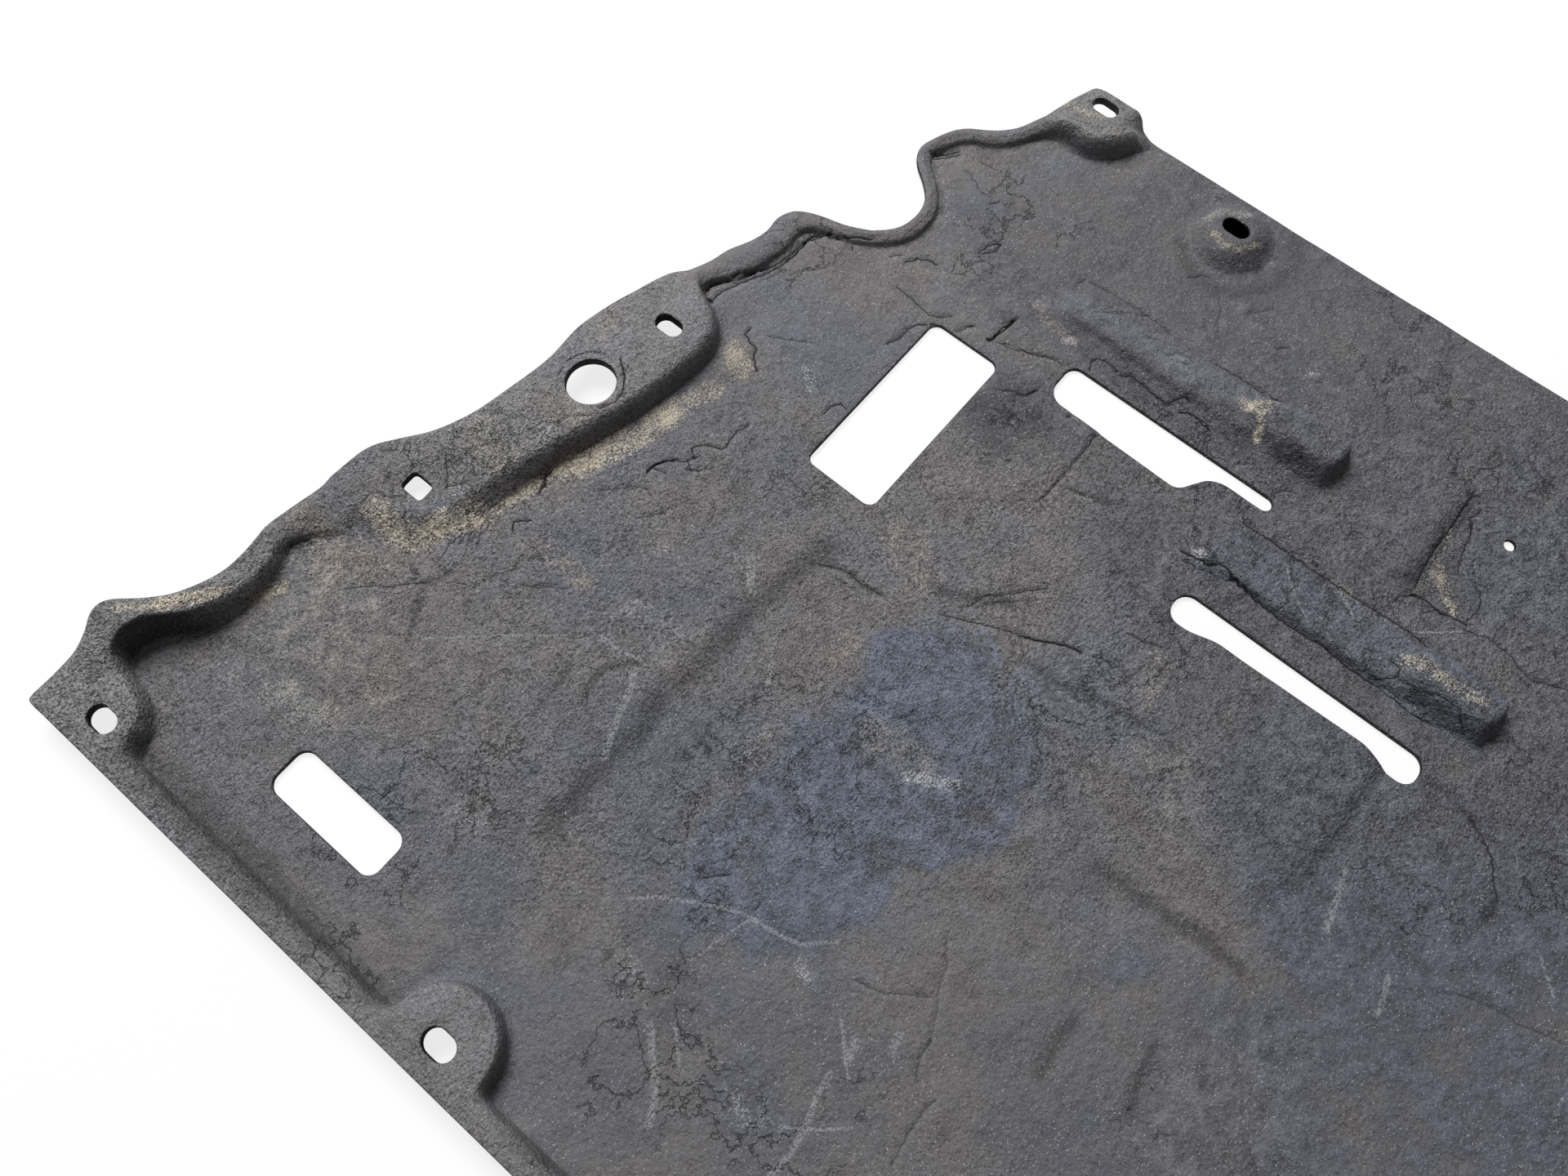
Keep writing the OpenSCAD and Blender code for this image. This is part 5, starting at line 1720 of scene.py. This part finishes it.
            rings.append(parts.add(np.column_stack([xy, z])))
            if skin is Skin.TOP:
                # Painted shade on the highest walls below their top edge; fewer spots on walls over about 10
                # mm
                below = float(soft_step(np.array((0.96 - u) / 0.2)))
                painted_wall_shade = 0.8 * soft_step((self.rise - 19.0) / 5.0) * below
                kept = 1.0 - 0.9 * soft_step((self.rise - 9.6) / 2.5)
                self.wall_points.append((rings[-1], painted_wall_shade, kept))
        rings.append(crest)
        for near, far in zip(rings, rings[1:]):
            if skin is Skin.TOP:
                parts.band(near, far)
            else:
                parts.band(far, near)

    def _rim(self, parts: MeshParts, top: tuple[Array, Array], low: tuple[Array, Array], lip: float) -> None:
        """Round the sheet's edge at a hole or round the outline, with a lip under it where there is one.

        The top round's ring at an angle t lies r (1 - sin t) in from the edge and r (1 - cos t) down.

        Args:
            parts: The mesh so far.
            top: Numbers and plan of the top face's points there.
            low: The same of the bottom face.
            lip: How far the lip reaches down.
        """
        xyz = np.vstack(parts.points)
        loop = top[1]
        z_top, z_low = xyz[top[0], 2], xyz[low[0], 2]
        radius = np.minimum(self.edge_radius, 0.4 * (z_top - z_low))
        rings = [top[0]]
        for angle in np.radians([30.0, 60.0, 90.0]):
            flat = loop - left_of(loop) * (radius * (1 - math.sin(angle)))[:, None]
            rings.append(parts.add(np.column_stack([flat, z_top - radius * (1 - math.cos(angle))])))
        rings.append(parts.add(np.column_stack([loop, z_low + self.lip_round - lip])))
        self.cut_points += rings[2:]
        if lip > 0:
            outward = left_of(loop)
            rings.append(parts.add(np.column_stack([loop - self.lip_round * outward, z_low - lip])))
            back = loop - self.lip_width * outward
            rings.append(parts.add(np.column_stack([back, z_low + self.lip_slope - lip])))
        rings.append(low[0])
        for near, far in zip(rings, rings[1:]):
            parts.band(near, far)

    def _describe(self, mesh: bpy.types.Mesh, xyz: Array) -> None:
        """Write what the finish needs to each point.

        Dirt and stains, with the painted shade among them, each get a share and a mean colour, weighed by
        how much of each lies there. High walls stay nearly clean, and the underside is left plain. Grooves,
        scuffs and shade follow the marks, and cut faces and the high walls below their top get painted shade
        too.

        Args:
            mesh: The sheet's mesh.
            xyz: Its points in millimetres.
        """
        xy, z = xyz[:, :2], xyz[:, 2]
        values = {"raised": soft_step((z - 9.0) / 9.0), "shade": np.zeros(len(xyz))}
        values["raised"][inside(xy, [self.foot])] = 0.0
        # Painted shade on the holes' and edges' cut faces and on the highest walls below their top
        for cut in self.cut_points:
            values["shade"][cut] = 1.0
        for wall, painted_wall_shade, _ in self.wall_points:
            values["shade"][wall] = painted_wall_shade
        for name, layers in (("dirt", self.deposits_and_shade), ("stain", self.stains_and_shade)):
            amounts = [overlay.cover(xy) for overlay in layers]
            total = np.sum(amounts, axis=0)
            colour = sum(amount[:, None] * np.array(overlay.colour) for amount, overlay in zip(amounts, layers))
            tint = np.ones((len(xyz), 4), np.float32)
            tint[:, :3] = colour / np.maximum(1e-6, total)[:, None]
            values[name] = np.clip(total, 0, 1)
            layer = mesh.attributes.new(name + "_colour", "FLOAT_COLOR", "POINT")
            layer.data.foreach_set("color", tint.ravel())
        for wall, _, kept in self.wall_points:
            values["dirt"][wall] *= kept
        keys = {MarkKind.CRACK: "groove", MarkKind.SCRATCH: "scuff", MarkKind.CREASE: "shade"}
        values |= {"groove": np.zeros(len(xyz)), "scuff": np.zeros(len(xyz))}
        for mark, line in zip(self.marks, self.mark_lines):
            near, share = mark.share(xy, line)
            share = 0.5 * bell(1.0 - share) if mark.kind is MarkKind.CREASE else share
            share = share * min(1.0, mark.depth / 1.2) if mark.kind is MarkKind.CRACK else share
            target = values[keys[mark.kind]]
            target[near] = np.maximum(target[near], share)
        for name, value in values.items():
            value[self.under] = 0.0
            layer = mesh.attributes.new(name, "FLOAT", "POINT")
            layer.data.foreach_set("value", value.astype(np.float32))

    def dress(self, sheet: bpy.types.Object, finish: "FibreFinish") -> None:
        """Give the sheet its moulded fibre finish."""
        sheet.data.materials.clear()
        sheet.data.materials.append(finish.material())


# Finish


class Value:
    """A number that varies over the surface: a socket whose arithmetic adds Math nodes."""

    def __init__(self, tree: "Tree", socket: bpy.types.NodeSocket) -> None:
        """Wrap one output socket of a tree."""
        self.tree = tree
        self.socket = socket

    def _math(self, operation: str, first: Any, second: Any) -> "Value":
        """One Math node on two numbers or values."""
        return self.tree.node("ShaderNodeMath", {"operation": operation}, {0: first, 1: second})

    def __add__(self, other: Any) -> "Value":
        """Sum."""
        return self._math("ADD", self, other)

    __radd__ = __add__

    def __sub__(self, other: Any) -> "Value":
        """Difference."""
        return self._math("SUBTRACT", self, other)

    def __rsub__(self, other: Any) -> "Value":
        """Difference from a number."""
        return self._math("SUBTRACT", other, self)

    def __mul__(self, other: Any) -> "Value":
        """Product."""
        return self._math("MULTIPLY", self, other)

    __rmul__ = __mul__

    def at_least(self, floor: float) -> "Value":
        """The larger of this and a number."""
        return self._math("MAXIMUM", self, floor)

    def between(self, low: float, high: float) -> "Value":
        """Smooth step from 0 at low to 1 at high."""
        inputs = {0: self, 1: low, 2: high, 3: 0.0, 4: 1.0}
        return self.tree.node("ShaderNodeMapRange", {"interpolation_type": "SMOOTHSTEP"}, inputs)


@dataclass
class Tree:
    """A material's nodes and the one method that adds any of them."""

    nodes: bpy.types.NodeTree

    def node(self, kind: str, settings: dict[str, Any], inputs: dict[Any, Any], output: Any = 0) -> Value:
        """Add a node.

        Args:
            kind: The node's type.
            settings: Properties, set first.
            inputs: Values or links by socket name or number.
            output: Name or number of the wanted output.

        Returns:
            The wanted output, wrapped.
        """
        made = self.nodes.nodes.new(kind)
        for key, value in settings.items():
            setattr(made, key, value)
        for key, value in inputs.items():
            if isinstance(value, Value):
                self.nodes.links.new(value.socket, made.inputs[key])
            elif isinstance(value, tuple):
                size = len(made.inputs[key].default_value)
                made.inputs[key].default_value = (*value, 1.0)[:size]
            else:
                made.inputs[key].default_value = value
        return Value(self, made.outputs[output])

    def noise(self, place: Value, scale: float, detail: float, rough: float = 0.5) -> Value:
        """Noise of a given scale a metre, from 0 to 1."""
        inputs = {"Vector": place, "Scale": scale, "Detail": detail, "Roughness": rough}
        return self.node("ShaderNodeTexNoise", {}, inputs)

    def blend(self, share: Any, first: Any, second: Any) -> Value:
        """Colour between two colours."""
        return self.node("ShaderNodeMix", {"data_type": "RGBA"}, {0: share, 6: first, 7: second}, 2)

    def shaded(self, colour: Value, light: Value) -> Value:
        """Colour times a number."""
        return self.node("ShaderNodeVectorMath", {"operation": "SCALE"}, {0: colour, "Scale": light})

    def end(self, kind: str, shader: Value) -> None:
        """Link a shader to the tree's output node."""
        made = self.nodes.nodes.new(kind)
        self.nodes.links.new(shader.socket, made.inputs["Surface"])

    def attribute(self, name: str, output: str = "Fac") -> Value:
        """A value kept on the mesh's points."""
        return self.node("ShaderNodeAttribute", {"attribute_name": name}, {}, output)


@dataclass(frozen=True)
class FibreFinish:
    """Dull, grainy moulded sheet, dusty and scuffed."""

    warm: Colour = (0.144, 0.136, 0.136)
    cool: Colour = (0.112, 0.116, 0.134)
    dusty: Colour = (0.204, 0.200, 0.201)
    dark: Colour = (0.008, 0.008, 0.009)
    grain: Colour = (0.380, 0.380, 0.395)
    scraped: Colour = (0.300, 0.305, 0.320)
    roughness: float = 0.74
    bump: float = 0.0013
    fine_scale: float = 840.0
    coarse_scale: float = 400.0
    middle_scale: float = 130.0
    patch_scale: float = 45.0
    broad_scale: float = 16.0
    wide_scale: float = 5.5
    speck_scale: float = 1100.0
    stain_and_shade_strength: float = 0.95
    dirt_and_shade_strength: float = 0.85
    speck_strength: float = 0.75
    scuff_strength: float = 0.6
    shade_strength: float = 0.92
    least_light: float = 0.25

    def material(self) -> bpy.types.Material:
        """Build the material from Object coordinates and the points' values.

        Each noise is a size of grain or patch. The grain is coarser in a band across the cover's front and
        middle and on raised faces, and each later blend lies over the ones before it.

        Returns:
            The material.
        """
        made = bpy.data.materials.new("moulded_fibre")
        made.use_nodes = True
        made.node_tree.nodes.clear()
        tree = Tree(made.node_tree)
        place = tree.node("ShaderNodeTexCoord", {}, {}, "Object")
        fine = tree.noise(place, self.fine_scale, 2.0, 0.7)
        coarse = tree.noise(place, self.coarse_scale, 2.0, 0.6)
        middle = tree.noise(place, self.middle_scale, 3.0, 0.6)
        patchy = tree.noise(place, self.patch_scale, 4.0, 0.6)
        broad = tree.noise(place, self.broad_scale, 3.0, 0.5)
        raised = tree.attribute("raised")
        across = tree.node("ShaderNodeSeparateXYZ", {}, {0: place}, "X") * HEADING[0]
        ahead = across + tree.node("ShaderNodeSeparateXYZ", {}, {0: place}, "Y") * HEADING[1]
        band = ahead.between(-0.17, -0.06) * 0.7 - ahead.between(0.1, 0.24) * 0.65
        coarser = band + 0.5 + raised * 0.35
        wide = tree.noise(place, self.wide_scale, 2.0, 0.5)
        specks = tree.noise(place, self.speck_scale, 1.0, 0.4)
        wrinkle = self._wrinkles(tree, place)
        colour = tree.blend((broad * 0.6 + wide * 0.4).between(0.42, 0.6), self.warm, self.cool)
        colour = tree.blend(raised * (0.25 + broad * 0.5), colour, self.dusty)
        uneven = (broad - 0.5) * 1.5 + (patchy - 0.5) * 1.7 + (middle - 0.5) * 1.1 + (fine - 0.5) * 0.5
        # Stains, and the painted shade bands on the ramps' walls and over the rear middle
        stain = (tree.attribute("stain") + uneven).between(0.2, 0.9)
        colour = tree.blend(stain * self.stain_and_shade_strength, colour, tree.attribute("stain_colour", "Color"))
        # Dirt and specks, and the painted shade crescent at the dome's foot
        overlay = tree.attribute("dirt")
        grains = (specks - 0.5) * 2.2 + (fine - 0.5) * 1.2 + (middle - 0.5) * 1.2
        dirt = (overlay * 0.66 + grains).between(0.12, 0.7) * overlay.between(0.02, 0.35)
        colour = tree.blend(dirt * self.dirt_and_shade_strength, colour, tree.attribute("dirt_colour", "Color"))
        grainy = (fine - 0.5) * 2.8 + (coarse - 0.5) * 1.1
        light = 1.0 + (grainy + (middle - 0.5) * 0.7) * coarser + (middle - 0.5) * stain * 1.2
        light = light + (patchy - 0.5) * 0.8 + (broad - 0.5) * 0.5
        light = light.at_least(self.least_light) * (coarser * 0.12 + 0.87)
        shade = tree.attribute("shade") * self.shade_strength
        light = light * (1.0 - shade) * (1.0 - wrinkle * 0.5)
        colour = tree.shaded(colour, light)
        colour = tree.blend(specks.between(0.66, 0.74) * self.speck_strength, colour, self.grain)
        scuff = tree.attribute("scuff").between(0.0, 0.6) * fine.between(0.38, 0.56)
        colour = tree.blend(scuff * self.scuff_strength, colour, self.scraped)
        colour = tree.blend(tree.attribute("groove").between(0.08, 0.85), colour, self.dark)
        rough = self.roughness - 0.12 * raised + (fine - 0.5) * 0.2
        height = (fine * 0.7 + coarse * 1.1 + middle * 0.8) * coarser + middle * 0.8
        height = height + patchy * 2.0 - wrinkle * 0.6
        bump = tree.node("ShaderNodeBump", {}, {"Strength": 1.0, "Distance": self.bump, "Height": height})
        shader = tree.node(
            "ShaderNodeBsdfPrincipled",
            {},
            {"Base Color": colour, "Roughness": rough, "Normal": bump, "Specular IOR Level": 0.35},
        )
        tree.end("ShaderNodeOutputMaterial", shader)
        return made

    @staticmethod
    def _wrinkles(tree: Tree, place: Value) -> Value:
        """Thin ragged lines where a noise passes its middle value, kept only where another is high.

        Args:
            tree: The material's tree.
            place: Object coordinates.

        Returns:
            1 on the lines and 0 elsewhere.
        """
        fold = tree.noise(place, 24.0, 5.0, 0.62) - 0.5
        where = tree.noise(place, 9.0, 2.0, 0.5).between(0.52, 0.6)
        return (1.0 - (fold * fold).between(0.0, 0.00009)) * where


# Floor, light and camera


@dataclass(frozen=True)
class Ground:
    """A flat square in metres, with its colour and how much it glows where the camera sees it."""

    name: str
    middle: tuple[float, float]
    size: float
    height: float
    colour: Colour
    glow: float

    def lay(self) -> None:
        """Make the square from four points and paint it."""
        (x, y), half = self.middle, self.size / 2
        corners = [(x - half, y - half), (x + half, y - half), (x + half, y + half), (x - half, y + half)]
        mesh = bpy.data.meshes.new(self.name)
        mesh.from_pydata([(*corner, self.height) for corner in corners], [], [(0, 1, 2, 3)])
        ground = bpy.data.objects.new(self.name, mesh)
        bpy.context.scene.collection.objects.link(ground)
        paint = bpy.data.materials.new(self.name)
        paint.use_nodes = True
        paint.node_tree.nodes.clear()
        tree = Tree(paint.node_tree)
        matte = tree.node("ShaderNodeBsdfDiffuse", {}, {"Color": self.colour})
        light = tree.node("ShaderNodeEmission", {}, {"Color": WHITE, "Strength": 1.0})
        seen = tree.node("ShaderNodeLightPath", {}, {}, "Is Camera Ray")
        mixed = tree.node("ShaderNodeMixShader", {}, {0: seen * self.glow, 1: matte, 2: light})
        tree.end("ShaderNodeOutputMaterial", mixed)
        mesh.materials.append(paint)


@dataclass(frozen=True)
class Studio:
    """Plain pale floor, soft light from ahead of the cover, and the photograph's viewpoint."""

    grounds: tuple[Ground, ...] = (
        Ground("studio_floor", (0.0, 0.0), 12.0, -0.0002, (0.90, 0.90, 0.90), 0.8),
        # A black disc of painted shadow on the floor under the dome's hole
        Ground("dome_shadow_disc", (Dome.x * MM, Dome.y * MM), 0.034, 0.001, (0.01, 0.01, 0.01), 0.0),
    )
    sky: float = 0.15
    key_power: float = 158.0
    key_size: float = 1.9
    key_place: tuple[float, float, float] = (0.8, 1.9, 2.8)
    eye: tuple[float, float, float] = EYE
    heading: tuple[float, float] = HEADING
    down: float = 67.85
    lens: float = 30.75
    sensor: float = 36.0

    def build(self) -> None:
        """Make the floor with a black disc of painted shadow under the dome's hole, the light, the sky and
        the camera.
        """
        for ground in self.grounds:
            ground.lay()
        self._light()
        self._camera()

    def _light(self) -> None:
        """One large soft lamp from ahead and a pale sky that shows white behind everything."""
        lamp = bpy.data.lights.new("key_lamp", "AREA")
        lamp.shape, lamp.size, lamp.energy = "SQUARE", self.key_size, self.key_power
        stand = bpy.data.objects.new("key_lamp", lamp)
        stand.location = self.key_place
        stand.rotation_euler = (-Vector(self.key_place)).to_track_quat("-Z", "Y").to_euler()
        bpy.context.scene.collection.objects.link(stand)
        world = bpy.data.worlds.new("studio_sky")
        bpy.context.scene.world = world
        world.use_nodes = True
        world.node_tree.nodes.clear()
        tree = Tree(world.node_tree)
        seen = tree.node("ShaderNodeLightPath", {}, {}, "Is Camera Ray")
        strength = seen * (1.0 - self.sky) + self.sky
        sky = tree.node("ShaderNodeBackground", {}, {"Color": WHITE, "Strength": strength})
        tree.end("ShaderNodeOutputWorld", sky)

    def _camera(self) -> None:
        """Camera whose axes are worked out from its heading and how far it looks down."""
        heading = Vector((*self.heading, 0.0)).normalized()
        down = math.radians(self.down)
        ahead = heading * math.cos(down) - Vector((0, 0, math.sin(down)))
        above = heading * math.sin(down) + Vector((0, 0, math.cos(down)))
        across = ahead.cross(above)
        lens = bpy.data.cameras.new("view")
        lens.lens, lens.sensor_width, lens.clip_start = self.lens, self.sensor, 0.01
        camera = bpy.data.objects.new("view", lens)
        turn = Matrix((across, above, -ahead)).transposed().to_4x4()
        camera.matrix_world = Matrix.Translation(Vector(self.eye) * MM) @ turn
        bpy.context.scene.collection.objects.link(camera)
        bpy.context.scene.camera = camera
        bpy.context.scene.view_settings.view_transform = "Standard"


def main() -> None:
    """Build the studio and the cover in order."""
    logging.basicConfig(level=logging.INFO, format="%(name)s: %(message)s")
    Studio().build()
    cover = CoverSheet()
    sheet = cover.build()
    cover.dress(sheet, FibreFinish())


if __name__ == "__main__":
    main()
